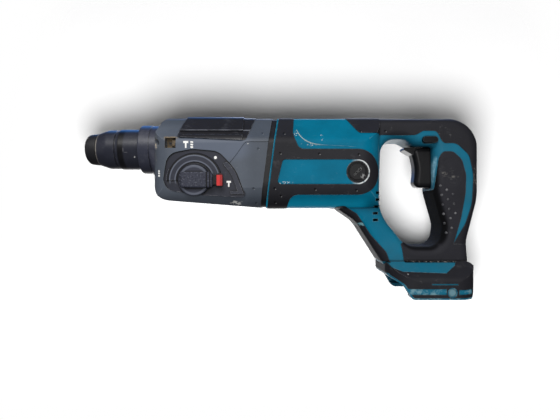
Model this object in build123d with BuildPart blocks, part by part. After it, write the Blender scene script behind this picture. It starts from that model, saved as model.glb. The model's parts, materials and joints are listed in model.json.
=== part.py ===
from build123d import *

import math
import os

os.makedirs("parts", exist_ok=True)

# The tool lies along X: the bit points to -X, the handle is at +X, the left side faces -Y.
# The origin is the mouth of the chuck, on the bit axis. Sizes are in millimetres.

# Lengths along the bit axis
nose_length = 10.2
sleeve_length = 40.0
sleeve_tuck = 1.2
collar_length = 17.5
gear_length = 94.0
motor_length = 98.5
opening_length = 47.5
grip_depth = 38.5

# Heights above the bit axis
body_top = 25.0
body_bottom = -53.0
crease_z = 4.0
handle_top = 24.9
opening_top = 7.4
trigger_roof = 2.0
opening_bottom = -87.0
foot_top = -99.0
foot_bottom = -129.0
motor_z = -23.0

# Half widths, to each side of the middle plane
body_half = 37.0
ridge_half = 18.0
handle_half = 20.0
foot_half = 37.0
foot_shoulder_half = 22.0
motor_corner = 17.0

# Walls, skins and clearances
gear_wall = 4.5
shell_wall = 3.2
skin_depth = 1.2
skin_proud = 0.4
pad_proud = 1.3
bar_height = 1.0
seam_edge = 1.3
flange_step = 0.6
fit = 0.05
slip = 0.15
moving_gap = 0.3
spare = 0.6

# Chuck and barrel
bit_bore_radius = 5.05
bit_bore_depth = 53.5
holder_radius = 10.5
bearing_seat_radius = 12.0
cylinder_radius = 15.5
cylinder_bore = 12.5
bolt_radius = 6.9
nose_radius = 14.1
nose_mouth_radius = 7.5
nose_lip = 1.0
sleeve_radius = 17.9
sleeve_wall = 2.1
sleeve_travel = 7.0
ball_radius = 3.5
ball_x = 24.0
lock_ring_length = 11.0
spring_wire = 1.4
spring_turns = 5
collar_radius = 21.5
neck_radius = 21.0
bearing_radius = 16.0
bearing_length = 8.0

# Gear train: motor pinion to intermediate gear, then intermediate pinion to spindle gear
fast_module = 0.8
motor_teeth = 8
fast_teeth = 34
slow_module = 1.0
pinion_teeth = 11
spindle_teeth = 40
addendum = 0.8
dedendum = 1.15
backlash = 0.3
shaft_radius = 4.0
gear_width = 7.0
pinion_width = 9.0

# Hammer mechanism
plate_thickness = 8.0
ring_width = 4.5
hub_radius = 11.0
arm_ring_radius = 14.5
arm_ring_half = 4.5
finger_radius = 3.0
piston_wall = 2.8
piston_stroke = 6.0
lug_half = 6.0
lug_height = 5.5

# Selector
knob_radius = 13.0
knob_range = 165.0
recess_depth = 2.3
crank_radius = 5.0
crank_pin_radius = 1.5
lever_reach = 16.0
lever_half = 6.5

# Motor
yoke_radius = 24.5
yoke_wall = 2.8
core_radius = 17.9
commutator_radius = 8.5
brush_cap_radius = 9.2

# Trigger and reverse lever
trigger_half = 8.5
trigger_edge = 4.5
trigger_travel = 7.0

# Stations worked out from the lengths
sleeve_front = nose_length + moving_gap
sleeve_rear = sleeve_front + sleeve_length
collar_front = sleeve_rear - sleeve_tuck
gear_front = collar_front + collar_length
seam_low = gear_front + gear_length
seam_slope = 10.0 / (body_top - body_bottom)
opening_front = seam_low + motor_length
grip_front = opening_front + opening_length
grip_rear = grip_front + grip_depth
motor_rear = opening_front - 1.0
foot_front = opening_front + 5.0
foot_rear = grip_rear - 7.3
arc_rear = grip_rear + 4.2
far = grip_rear + 60.0
plate_front = seam_low - ring_width - plate_thickness - 0.3
wobble_x = plate_front - 22.0
pinion_rear = wobble_x - 10.5
bracket_rear = pinion_rear - pinion_width - 3.5
cylinder_rear = pinion_rear + 0.5
brush_x = opening_front - 22.2
knob_x = gear_front + 35.5
knob_z = motor_z - 7.0
rod_y = -17.0
rod_z = knob_z - 6.5
rod_radius = 2.0

# The intermediate shaft stands where both gear pairs mesh
fast_centre = fast_module * (motor_teeth + fast_teeth) / 2
slow_centre = slow_module * (pinion_teeth + spindle_teeth) / 2
mid_z = (slow_centre**2 - fast_centre**2 + motor_z**2) / (2 * motor_z)
mid_y = math.sqrt(slow_centre**2 - mid_z**2)

# Screw columns that run back through the gear housing, and screws that close the housing halves
columns = [(side * (body_half - 6.5), z) for side in (1, -1) for z in (crease_z - 3.0,)]
columns += [(side * (body_half - 11.5), body_bottom + 12.0) for side in (1, -1)]
column_radius = 4.5
shell_screws = [
    (seam_low + 29.0, body_top - 10.0),
    (opening_front + 2.0, handle_top - 9.0),
    (grip_rear - 13.0, handle_top - 14.0),
    (grip_rear - 21.0, opening_bottom + 14.0),
    (opening_front + 12.0, opening_bottom - 3.0),
]
boss_radius = 4.2


def write(piece, name):
    """Label one finished piece and write it to its own file."""
    piece.part.label = name
    export_step(piece.part, f"parts/{name}.step")


def cut(shape):
    """Take one shape away from what is being built."""
    add(shape, mode=Mode.SUBTRACT)


def keep(shape):
    """Keep only what lies inside one shape."""
    add(shape, mode=Mode.INTERSECT)


def grown_corners(points, radii, grow):
    """A closed outline moved outwards by one amount, with its corner rounds to match."""
    count = len(points)
    area = sum(points[i - 1][0] * points[i][1] - points[i][0] * points[i - 1][1] for i in range(count))
    out = math.copysign(1.0, area)
    corners = []
    rounds = []
    for i in range(count):
        before = Vector(*points[i]) - Vector(*points[i - 1])
        after = Vector(*points[(i + 1) % count]) - Vector(*points[i])
        before = before.normalized()
        after = after.normalized()
        turn = out * (before.X * after.Y - before.Y * after.X)
        reach = grow / (1 + before.dot(after))
        x = points[i][0] + reach * out * (before.Y + after.Y)
        y = points[i][1] - reach * out * (before.X + after.X)
        corners.append((x, y))
        radius = radii[i] + math.copysign(grow, grow * turn)
        rounds.append(max(0.0, radius) if radii[i] else 0.0)
    return corners, rounds


def outline(plane, points, radii=None, grow=0.0):
    """A closed outline with rounded corners, grown all round by one amount."""
    corners, rounds = grown_corners(points, radii or [0.0] * len(points), grow)
    with BuildSketch(plane) as shape:
        with BuildLine():
            FilletPolyline(*corners, radius=rounds, close=True)
        make_face()
    return shape.sketch


def turned(points, centre=(0.0, 0.0), radii=None):
    """A solid turned about a line along X through the centre, from a profile of (x, radius)."""
    y, z = centre
    line = Axis((0, y, z), (1, 0, 0))
    plane = Plane(origin=(0, y, z), x_dir=(1, 0, 0), z_dir=(0, -1, 0))
    with BuildPart() as body:
        revolve(outline(plane, points, radii), axis=line)
    return body.part


def tube(x_start, x_end, outer, inner, centre=(0.0, 0.0)):
    """A plain tube along X."""
    return turned([(x_start, inner), (x_end, inner), (x_end, outer), (x_start, outer)], centre)


def rod(x_start, x_end, radius, centre=(0.0, 0.0)):
    """A plain round bar along X."""
    with BuildPart() as bar:
        with BuildSketch(Plane.YZ.offset(x_start)):
            with Locations(centre):
                Circle(radius)
        extrude(amount=x_end - x_start)
    return bar.part


def cross_rod(x, z, radius, y_start, y_end):
    """A plain round bar along Y."""
    with BuildPart() as bar:
        with BuildSketch(Plane.XZ.offset(-y_end)):
            with Locations((x, z)):
                Circle(radius)
        extrude(amount=y_end - y_start)
    return bar.part


def block(x, y, z):
    """A box between the lowest and highest value on each axis."""
    with BuildPart() as box:
        with Locations(((x[0] + x[1]) / 2, (y[0] + y[1]) / 2, (z[0] + z[1]) / 2)):
            Box(x[1] - x[0], y[1] - y[0], z[1] - z[0])
    return box.part


def thick(shape, amount=None, way=None):
    """A sketch drawn out square to its plane: to both sides, or by one amount one way."""
    with BuildPart() as solid:
        if way:
            extrude(shape, amount=amount, dir=way)
        else:
            extrude(shape, amount=far, both=True)
    return solid.part


def six_corners(x, z, radius):
    """The corners of a six-sided screw drive seen from the side."""
    return [
        (x + radius * math.cos(math.radians(60 * k)), z + radius * math.sin(math.radians(60 * k)))
        for k in range(6)
    ]


def side_prism(points, radii, side, grow=0.0):
    """A prism of a side outline, on the left of the middle plane (1), the right (-1) or both (0)."""
    shape = outline(Plane.XZ, points, radii, grow)
    if side:
        return thick(shape, far, (0, -side, 0))
    return thick(shape)


def gear_teeth(teeth, module, x_start, x_end, centre, tooth_angle):
    """A spur gear with involute flanks, one tooth centred on an angle in the YZ plane."""
    pitch = teeth * module / 2
    base = pitch * math.cos(math.radians(20))
    tip = pitch + addendum * module
    root = pitch - dedendum * module
    half_pitch = (math.pi * module / 2 - backlash) / (2 * pitch)
    start = math.tan(math.radians(20)) - math.radians(20)
    flank = []
    for radius in (max(base, root), (max(base, root) + pitch) / 2, pitch, (pitch + tip) / 2, tip):
        press = math.acos(min(1.0, base / radius))
        flank.append((radius, half_pitch + start - (math.tan(press) - press)))
    if root < base:
        flank.insert(0, (root, flank[0][1]))
    points = []
    for tooth in range(teeth):
        middle = math.radians(tooth_angle) + 2 * math.pi * tooth / teeth
        for radius, angle in flank:
            points.append((radius * math.cos(middle - angle), radius * math.sin(middle - angle)))
        for radius, angle in reversed(flank):
            points.append((radius * math.cos(middle + angle), radius * math.sin(middle + angle)))
    with BuildPart() as gear:
        with BuildSketch(Plane(origin=(x_start, *centre), x_dir=(0, 1, 0), z_dir=(1, 0, 0))):
            with BuildLine():
                Polyline(*points, close=True)
            make_face()
        extrude(amount=x_end - x_start)
    return gear.part


def angle_to(start, end):
    """The angle in the YZ plane from one centre to another, in degrees."""
    return math.degrees(math.atan2(end[1] - start[1], end[0] - start[0]))


# Outer forms of the gear housing and of the rear housing, each of them grown by one amount

section = [
    (-ridge_half, body_top), (ridge_half, body_top), (body_half, crease_z),
    (body_half, body_bottom), (-body_half, body_bottom), (-body_half, crease_z),
]
section_rounds = [7, 7, 9, 22, 22, 9]

gear_side = [
    (gear_front, crease_z + 2.0), (gear_front + 6.0, body_top), (gear_front + 50.0, body_top + spare),
    (seam_low + 30.0, body_top + spare), (seam_low + 30.0, body_bottom - 2.3),
    (gear_front, body_bottom + 7.3),
]
gear_plan = [
    (gear_front - spare, -body_half), (seam_low + 40.0, -body_half),
    (seam_low + 40.0, body_half), (gear_front - spare, body_half),
]


def gear_form(grow):
    """The gear housing: one section along X, cut by its side view and its plan."""
    with BuildPart() as form:
        add(thick(outline(Plane.YZ, section, section_rounds, grow)))
        keep(thick(outline(Plane.XZ, gear_side, [6, 8, 0, 0, 0, 14], grow)))
        keep(thick(outline(Plane.XY, gear_plan, [14, 0, 0, 14], grow)))
    return form.part


def behind_seam(x_low):
    """Everything behind the slanted seam plane that meets the underside at one station."""
    reach = 120.0
    low = x_low - reach * seam_slope
    high = x_low + (body_top - body_bottom + reach) * seam_slope
    return side_prism(
        [(low, body_bottom - reach), (high, body_top + reach), (far, body_top + reach),
        (far, body_bottom - reach)],
        None, 0,
    )


motor_plan = [
    (gear_front, -body_half), (motor_rear, -body_half), (motor_rear, body_half), (gear_front, body_half),
]

opening = [
    (opening_front + 2.0, opening_top), (opening_front + 22.5, opening_top),
    (grip_front - 15.5, trigger_roof),
    (grip_front, trigger_roof), (grip_front + 0.5, opening_top - 45.4),
    (grip_front + 9.0, opening_bottom + 19.0),
    (grip_front + 6.5, opening_bottom), (opening_front + 24.5, opening_bottom),
    (opening_front, opening_bottom + 30.0),
]
opening_rounds = [13, 8, 14, 3, 25, 20, 12, 18, 38]
handle_side = [
    (opening_front - 19.5, handle_top), (grip_rear, handle_top), (grip_rear, handle_top - 69.0),
    (grip_rear - 9.8, opening_bottom + 5.0), (foot_rear - 0.5, foot_top - 10.0),
    (opening_front + 9.0, foot_top - 10.0),
    (opening_front - 19.5, body_bottom - 11.5), (opening_front - 37.5, body_bottom + 1.0),
    (opening_front - 37.5, 0.0),
]
handle_rounds = [12, 25, 60, 20, 10, 10, 25, 10, 10]
handle_edge = 7.5

foot_side = [
    (foot_front, foot_top), (foot_rear, foot_top), (foot_rear, foot_bottom + 4.0),
    (foot_rear - 4.0, foot_bottom),
    (foot_front + 18.5, foot_bottom), (foot_front + 11.5, foot_bottom + 11.5),
    (foot_front, foot_top - 11.0),
]
foot_rounds = [4, 6, 4, 4, 4, 6, 5]
foot_plan = [
    (foot_front - spare, -foot_half), (foot_rear + spare, -foot_half),
    (foot_rear + spare, foot_half), (foot_front - spare, foot_half),
]
foot_section = [
    (-foot_shoulder_half, foot_top + spare), (foot_shoulder_half, foot_top + spare),
    (foot_half, foot_top - 13.0),
    (foot_half, foot_bottom - 10.0), (-foot_half, foot_bottom - 10.0), (-foot_half, foot_top - 13.0),
]


def motor_form(grow):
    """The motor housing: the body section, rounded in plan where it meets the handle."""
    with BuildPart() as form:
        add(thick(outline(Plane.YZ, section, section_rounds, grow)))
        keep(thick(outline(Plane.XY, motor_plan, [0, motor_corner, motor_corner, 0], grow)))
    return form.part


def handle_form(grow):
    """The D handle: a rounded ring with the finger opening through it."""
    with BuildPart() as form:
        with BuildSketch(Plane.XZ):
            add(outline(Plane.XZ, handle_side, handle_rounds, grow))
            cut(outline(Plane.XZ, opening, opening_rounds, -grow))
        extrude(amount=handle_half + grow, both=True)
        fillet(form.faces().filter_by(Axis.Y).edges(), handle_edge + grow)
    return form.part


def foot_form(grow):
    """The battery foot: a side view cut by its plan and its sloped shoulders."""
    with BuildPart() as form:
        add(thick(outline(Plane.XZ, foot_side, foot_rounds, grow)))
        keep(thick(outline(Plane.XY, foot_plan, [24, 18, 18, 24], grow)))
        keep(thick(outline(Plane.YZ, foot_section, [5, 5, 6, 2, 2, 6], grow)))
    return form.part


def body_form(grow):
    """The whole rear housing: motor, D handle and battery foot."""
    return motor_form(grow) + handle_form(grow) + foot_form(grow)


# Chuck: nose cap, locking sleeve, tool holder and what they hold

nose_profile = [
    (0, nose_mouth_radius), (nose_lip, nose_mouth_radius), (nose_lip, holder_radius + fit),
    (nose_length, holder_radius + fit),
    (nose_length, nose_radius), (5.5, nose_radius - 0.3), (2.0, nose_radius - 0.9),
    (0, nose_radius - 3.2),
]
with BuildPart() as nose_cap:
    revolve(outline(Plane.XZ, nose_profile, [0.5, 0, 0, 0, 0.6, 8, 2, 1.2]), axis=Axis.X)
write(nose_cap, "nose_cap")

sleeve_bore = sleeve_radius - sleeve_wall
lock_ring_front = ball_x - 4.0
lock_ring_rear = lock_ring_front + lock_ring_length
groove_x = sleeve_front + 17.2
sleeve_profile = [
    (sleeve_front, holder_radius + 2.4), (sleeve_front + 3.0, holder_radius + 2.4),
    (sleeve_front + 3.0, nose_radius - 0.3), (lock_ring_front, nose_radius - 0.3),
    (lock_ring_front, sleeve_bore),
    (sleeve_rear, sleeve_bore), (sleeve_rear, sleeve_radius), (groove_x + 3.6, sleeve_radius),
    (groove_x + 1.5, sleeve_radius - 0.5), (groove_x + 1.5, sleeve_radius - 1.3),
    (groove_x, sleeve_radius - 1.3),
    (groove_x, sleeve_radius - 0.6), (sleeve_front + 9.0, sleeve_radius - 0.6),
    (sleeve_front, nose_radius + 0.2),
]
sleeve_rounds = [0.5, 0, 0, 0, 0, 0, 0.6, 4, 0, 0, 0, 0.4, 10, 0.6]
with BuildPart() as lock_sleeve:
    revolve(outline(Plane.XZ, sleeve_profile, sleeve_rounds), axis=Axis.X)
write(lock_sleeve, "lock_sleeve")

socket_end = nose_lip + bit_bore_depth
bolt_front = socket_end + 1.0
bolt_guide_rear = bolt_front + 20.0
shoulder_x = lock_ring_rear + 15.0
bearing_front = sleeve_rear + sleeve_travel + 1.5
bearing_rear = bearing_front + bearing_length
holder_profile = [
    (nose_lip, bit_bore_radius), (socket_end, bit_bore_radius), (socket_end, bolt_radius + fit),
    (bolt_guide_rear, bolt_radius + fit), (bolt_guide_rear, cylinder_bore),
    (cylinder_rear, cylinder_bore),
    (cylinder_rear, cylinder_radius), (bearing_rear + 1.0, cylinder_radius),
    (bearing_rear, bearing_seat_radius),
    (shoulder_x, bearing_seat_radius), (shoulder_x, holder_radius), (nose_lip, holder_radius),
]
with BuildPart() as tool_holder:
    revolve(outline(Plane.XZ, holder_profile, [0.5] + [0] * 10 + [0.8]), axis=Axis.X)
    with BuildSketch(Plane.XY):
        with Locations((ball_x, 0)):
            Circle(ball_radius + fit)
    extrude(amount=holder_radius + 2.0, both=True, mode=Mode.SUBTRACT)
    for side_plane in (Plane.XY, Plane.XZ):
        with BuildSketch(side_plane):
            with Locations((bolt_guide_rear + 5.0, 0)):
                Circle(1.6)
        extrude(amount=cylinder_radius + 1.0, both=True, mode=Mode.SUBTRACT)
write(tool_holder, "tool_holder")

with BuildPart() as lock_balls:
    with Locations((ball_x, 0, bit_bore_radius + ball_radius), (ball_x, 0, -bit_bore_radius - ball_radius)):
        Sphere(ball_radius)
write(lock_balls, "lock_balls")

ball_room = bit_bore_radius + 2 * ball_radius + moving_gap
lock_ring_profile = [
    (lock_ring_front, ball_room), (lock_ring_rear - 3.0, ball_room),
    (lock_ring_rear - 3.0, holder_radius + fit),
    (lock_ring_rear, holder_radius + fit), (lock_ring_rear, sleeve_bore - fit),
    (lock_ring_front, sleeve_bore - fit),
]
with BuildPart() as lock_ring:
    revolve(outline(Plane.XZ, lock_ring_profile), axis=Axis.X)
write(lock_ring, "lock_ring")

spring_front = lock_ring_rear + 0.8
spring_length = shoulder_x - spring_front - 1.2
spring_radius = bearing_seat_radius + 0.2
with BuildPart() as sleeve_spring:
    with BuildLine() as coil:
        Helix(
            pitch=spring_length / spring_turns, height=spring_length, radius=spring_radius,
            center=(spring_front, 0, 0), direction=(1, 0, 0),
        )
    with BuildSketch(Plane(origin=coil.line @ 0, z_dir=coil.line % 0)):
        Circle(spring_wire / 2)
    sweep()
write(sleeve_spring, "sleeve_spring")

# Barrel: collar for a side handle, neck down to the gear housing, bearing seat
barrel_rear = gear_front + gear_wall + 4.0
collar_rear = collar_front + 9.8
barrel_profile = [
    (collar_front, sleeve_radius + moving_gap), (bearing_front, sleeve_radius + moving_gap),
    (bearing_front, bearing_radius), (bearing_rear, bearing_radius),
    (bearing_rear, cylinder_radius + moving_gap), (barrel_rear, cylinder_radius + moving_gap),
    (barrel_rear, neck_radius), (collar_rear, neck_radius),
    (collar_rear, collar_radius), (collar_front, collar_radius),
]
neck_drop = 17.0
with BuildPart() as neck:
    for x, drop in ((collar_rear + 0.2, 0.4), (gear_front, neck_drop)):
        with BuildSketch(Plane.YZ.offset(x)):
            with Locations((0, -drop / 2)):
                SlotCenterToCenter(drop, 2 * (neck_radius - 0.2), rotation=90)
    loft()
    cut(rod(0, far, neck_radius - spare))
with BuildPart() as barrel:
    revolve(outline(Plane.XZ, barrel_profile, [0.4] + [0] * 8 + [1.2]), axis=Axis.X)
    add(neck.part)
write(barrel, "barrel")

with BuildPart() as spindle_bearing:
    add(tube(bearing_front, bearing_rear, bearing_radius - fit, bearing_seat_radius + fit))
write(spindle_bearing, "spindle_bearing")

# Gear housing with its ribbed saddle pad, joint ring, plates and screws
pad_region = [
    (gear_front + 27.0, body_top + 10.0), (gear_front + 86.5, body_top + 10.0),
    (gear_front + 85.0, body_top),
    (gear_front + 78.0, crease_z - 1.0), (gear_front + 20.0, crease_z + 2.0),
    (gear_front + 26.0, body_top),
]
bars_rear = gear_front + 75.0
groove_top = crease_z + 8.4
groove_bottom = crease_z + 4.4
with BuildPart() as pad_relief:
    add(block((gear_front, far), (-far, far), (groove_bottom, groove_top)))
    add(block((bars_rear, far), (-far, far), (body_bottom, body_top + 20.0)))
    cut(gear_form(pad_proud - bar_height))
with BuildPart() as saddle_pad:
    add(gear_form(pad_proud))
    keep(side_prism(pad_region, [0, 0, 0, 3, 3, 0], 0))
    cut(gear_form(-skin_depth))
    cut(pad_relief.part)
write(saddle_pad, "saddle_pad")

gear_rear_low = seam_low - ring_width
with BuildPart() as gear_hollow:
    add(gear_form(-gear_wall))
    for centre in columns:
        cut(rod(0, far, column_radius, centre))

floor_y = body_half - recess_depth
selector_region = [
    (knob_x - 26.0, knob_z), (knob_x - 22.5, knob_z + 22.0), (knob_x - 2.0, knob_z + 26.0),
    (knob_x + 20.0, knob_z + 24.0),
    (knob_x + 34.0, knob_z + 9.0), (knob_x + 43.0, knob_z - 14.5), (knob_x + 8.0, knob_z - 12.5),
    (knob_x - 22.0, knob_z - 8.5),
]
selector_rounds = [8, 12, 30, 14, 30, 3, 60, 8]
flange_region = [
    (gear_front + 64.5, crease_z - 19.5), (gear_front + 70.5, crease_z - 12.0),
    (gear_front + 77.5, crease_z - 2.0), (seam_low + 40.0, crease_z - 2.0),
    (seam_low + 40.0, body_bottom - 10.0), (gear_front + 80.5, body_bottom - 10.0),
    (gear_front + 76.0, crease_z - 45.5),
]
flange_rounds = [0, 20, 4, 0, 0, 0, 20]
screw_head_x = gear_front + 20.0
screw_tip_x = seam_low + 14.0
with BuildPart() as gear_housing:
    add(gear_form(0))
    cut(behind_seam(gear_rear_low))
    cut(gear_hollow.part)
    cut(saddle_pad.part)
    cut(rod(0, gear_front + 12.0, neck_radius + fit))
    cut(thick(outline(Plane.XZ.offset(floor_y), selector_region, selector_rounds), far, (0, -1, 0)))
    cut(cross_rod(knob_x, knob_z, shaft_radius + fit, -body_half, 0))
    for side in (1, -1):
        flange_plane = Plane.XZ.offset(side * (body_half - flange_step))
        cut(thick(outline(flange_plane, flange_region, flange_rounds), far, (0, -side, 0)))
    for y, z in columns:
        cut(rod(screw_head_x, far, 2.1, (y, z)))
        cut(rod(0, screw_head_x, 4.3, (y, z)))
        if z > motor_z:
            side = math.copysign(1.0, y)
            notch_y = sorted((y, side * (body_half + 5)))
            cut(block((screw_head_x - 9.0, screw_head_x), notch_y, (z - 4.3, z + 4.3)))
    cut(rod(gear_front + 3.2, gear_front + 12.0, rod_radius + fit, (rod_y, rod_z)))
    cut(rod(pinion_rear - 9.0, pinion_rear, slow_module * spindle_teeth / 2 + 1.6))
write(gear_housing, "gear_housing")

with BuildPart() as joint_ring:
    add(gear_form(-0.8))
    keep(behind_seam(gear_rear_low))
    cut(behind_seam(seam_low))
    cut(gear_hollow.part)
    for centre in columns:
        cut(rod(0, far, 2.1, centre))
write(joint_ring, "joint_ring")

with BuildPart() as gear_screws:
    for centre in columns:
        add(rod(screw_head_x - 3.5, screw_head_x, 4.0, centre))
        add(rod(screw_head_x, screw_tip_x, 2.0, centre))
        with BuildSketch(Plane(origin=(screw_head_x - 3.5, *centre), x_dir=(0, 1, 0), z_dir=(1, 0, 0))):
            RegularPolygon(2.0, 6)
        extrude(amount=2.0, mode=Mode.SUBTRACT)
write(gear_screws, "gear_screws")

plate_rear = plate_front + plate_thickness
armature_bearing_radius = 9.5
mid_bearing_radius = 6.0
with BuildPart() as bearing_plate:
    add(gear_form(-gear_wall - slip))
    keep(block((plate_front, plate_rear), (-far, far), (-far, far)))
    for centre in columns:
        cut(rod(0, far, column_radius + slip, centre))
    cut(rod(0, far, armature_bearing_radius + fit, (0, motor_z)))
    cut(rod(0, far, mid_bearing_radius + fit, (mid_y, mid_z)))
    cut(rod(0, plate_front + 4.0, rod_radius + fit, (rod_y, rod_z)))
write(bearing_plate, "bearing_plate")

bracket_front = bracket_rear - 6.0
bush_radius = cylinder_radius + 2.0
with BuildPart() as inner_bracket:
    with BuildSketch(Plane.YZ.offset(bracket_front)):
        Circle(bush_radius + 5.0)
        with Locations((mid_y, mid_z)):
            Circle(mid_bearing_radius + 3.5)
        with Locations((body_half / 2, mid_z / 2)):
            Rectangle(body_half, 24.0)
    extrude(amount=6.0)
    keep(gear_form(-gear_wall - slip))
    for centre in columns:
        cut(rod(0, far, column_radius + slip, centre))
    cut(rod(0, far, bush_radius + fit))
    cut(rod(0, far, mid_bearing_radius + fit, (mid_y, mid_z)))
write(inner_bracket, "inner_bracket")

with BuildPart() as spindle_bush:
    add(tube(bracket_front, bracket_rear, bush_radius, cylinder_radius + fit))
write(spindle_bush, "spindle_bush")

# Gear train and hammer mechanism
motor_axis = (0.0, motor_z)
mid_axis = (mid_y, mid_z)
spindle_axis = (0.0, 0.0)

with BuildPart() as spindle_gear:
    turn = angle_to(spindle_axis, mid_axis) + 180.0 / spindle_teeth
    gear_x = pinion_rear - 1.0 - gear_width
    add(gear_teeth(spindle_teeth, slow_module, gear_x, gear_x + gear_width, spindle_axis, turn))
    cut(rod(0, far, cylinder_radius + fit))
write(spindle_gear, "spindle_gear")

with BuildPart() as intermediate_shaft:
    add(rod(bracket_front + 0.3, plate_rear - 0.3, shaft_radius, mid_axis))
    turn = angle_to(mid_axis, spindle_axis)
    add(gear_teeth(pinion_teeth, slow_module, pinion_rear - pinion_width, pinion_rear, mid_axis, turn))
write(intermediate_shaft, "intermediate_shaft")

with BuildPart() as intermediate_gear:
    turn = angle_to(mid_axis, motor_axis) + 180.0 / fast_teeth
    gear_x = plate_front - 2.5 - gear_width
    add(gear_teeth(fast_teeth, fast_module, gear_x, gear_x + gear_width, mid_axis, turn))
    cut(rod(0, far, shaft_radius + fit, mid_axis))
write(intermediate_gear, "intermediate_gear")

with BuildPart() as intermediate_bearings:
    for x in (bracket_front, plate_front + 1.0):
        add(tube(x, x + 6.0, mid_bearing_radius, shaft_radius + fit, mid_axis))
write(intermediate_bearings, "intermediate_bearings")

arm_dir = Vector(0, -mid_y, -mid_z).normalized()
arm_plane = Plane(origin=(wobble_x, mid_y, mid_z), x_dir=(1, 0, 0), z_dir=arm_dir)
hub_plane = Plane(origin=(wobble_x, mid_y, mid_z), x_dir=(1, 0, 0), z_dir=(0, -1, 0))
with BuildPart() as wobble_hub:
    with BuildSketch(hub_plane):
        Circle(hub_radius)
        with Locations((0, shaft_radius + fit)):
            Rectangle(14.0, hub_radius, align=(Align.CENTER, Align.MIN), mode=Mode.INTERSECT)
    revolve(axis=Axis((wobble_x, mid_y, mid_z), (1, 0, 0)))
write(wobble_hub, "wobble_hub")

with BuildPart() as wobble_arm:
    with BuildSketch(hub_plane):
        Rectangle(2 * arm_ring_half, arm_ring_radius, align=(Align.CENTER, Align.MIN))
        Circle(hub_radius + moving_gap, mode=Mode.SUBTRACT)
    revolve(axis=Axis((wobble_x, mid_y, mid_z), (1, 0, 0)))
    with BuildSketch(arm_plane.offset(arm_ring_radius - 1.5)):
        Circle(finger_radius)
    extrude(amount=slow_centre + 5.0 - arm_ring_radius + 1.5)
write(wobble_arm, "wobble_arm")

piston_front = bolt_guide_rear + piston_stroke + 4.5
piston_rear = wobble_x - 13.0
piston_radius = cylinder_bore - 0.08
piston_bore = piston_radius - piston_wall
lug_plane = arm_plane.offset(slow_centre)
with BuildPart() as piston:
    add(tube(piston_front, piston_rear, piston_radius, piston_bore))
    add(rod(piston_rear - 4.0, piston_rear, piston_radius))
    with BuildSketch(lug_plane.offset(-lug_height)):
        with Locations(((piston_rear - wobble_x + 5.0) / 2, 0)):
            Rectangle(wobble_x + 5.0 - piston_rear + 6.0, 2 * lug_half)
    extrude(amount=2 * lug_height)
    cut(rod(0, piston_rear - 4.0, piston_bore))
    with BuildSketch(lug_plane.offset(-20.0)):
        Rectangle(2 * finger_radius + 3.6, 2 * finger_radius + 0.6)
    extrude(amount=40.0, mode=Mode.SUBTRACT)
write(piston, "piston")

striker_radius = piston_bore - 0.3
striker_front = piston_front + 6.0
striker_rear = piston_rear - 9.0
striker_profile = [
    (striker_front, 0), (striker_rear, 0), (striker_rear, striker_radius),
    (striker_rear - 4.5, striker_radius),
    (striker_rear - 4.5, striker_radius - 1.2), (striker_rear - 7.0, striker_radius - 1.2),
    (striker_rear - 7.0, striker_radius), (striker_front + 1.5, striker_radius),
    (striker_front, striker_radius - 1.5),
]
with BuildPart() as striker:
    revolve(outline(Plane.XZ, striker_profile), axis=Axis.X)
write(striker, "striker")

with BuildPart() as striker_seal:
    add(tube(striker_rear - 6.9, striker_rear - 4.6, piston_bore - 0.1, striker_radius - 1.15))
write(striker_seal, "striker_seal")

bolt_rear = bolt_front + 20.5
bolt_profile = [
    (bolt_front, 0), (bolt_rear, 0), (bolt_rear, 5.0), (bolt_rear - 4.0, bolt_radius),
    (bolt_front + 1.0, bolt_radius),
    (bolt_front, bolt_radius - 1.0),
]
with BuildPart() as impact_bolt:
    revolve(outline(Plane.XZ, bolt_profile), axis=Axis.X)
write(impact_bolt, "impact_bolt")

# Selector: plate, knob, lock button, crank, slider and its rod
plate_top = floor_y + 1.2
ring_top = plate_top + 0.9
ring_side = (-ring_top, -plate_top + 0.4)
rim_region = [
    (knob_x + 24.0, knob_z + 14.0), (knob_x + 60.0, knob_z + 30.0), (knob_x + 60.0, knob_z - 11.5),
    (knob_x + 30.0, knob_z - 11.5),
]
with BuildPart() as rim_band:
    add(side_prism(selector_region, selector_rounds, 0, -1.0))
    cut(side_prism(selector_region, selector_rounds, 0, -4.8))
    keep(side_prism(rim_region, None, 0))
    keep(block((-far, far), ring_side, (-far, far)))
ring_step = [
    (knob_x, knob_z), (knob_x - 40.0, knob_z + 18.0), (knob_x - 40.0, knob_z - 4.0),
]
with BuildPart() as detent_ring:
    add(cross_rod(knob_x, knob_z, 23.4, *ring_side))
    keep(side_prism(ring_step, None, 0))
    add(cross_rod(knob_x, knob_z, 21.2, *ring_side))
    cut(block((-far, far), (-far, far), (body_bottom - 10.0, knob_z)))
    keep(side_prism(selector_region, selector_rounds, 0, -1.2))
with BuildPart() as selector_plate:
    add(thick(outline(Plane.XZ.offset(floor_y), selector_region, selector_rounds, -slip), 1.2, (0, -1, 0)))
    add(rim_band.part)
    add(detent_ring.part)
    cut(cross_rod(knob_x, knob_z, knob_radius + 0.4, -body_half - 9, 0))
write(selector_plate, "selector_plate")

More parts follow.
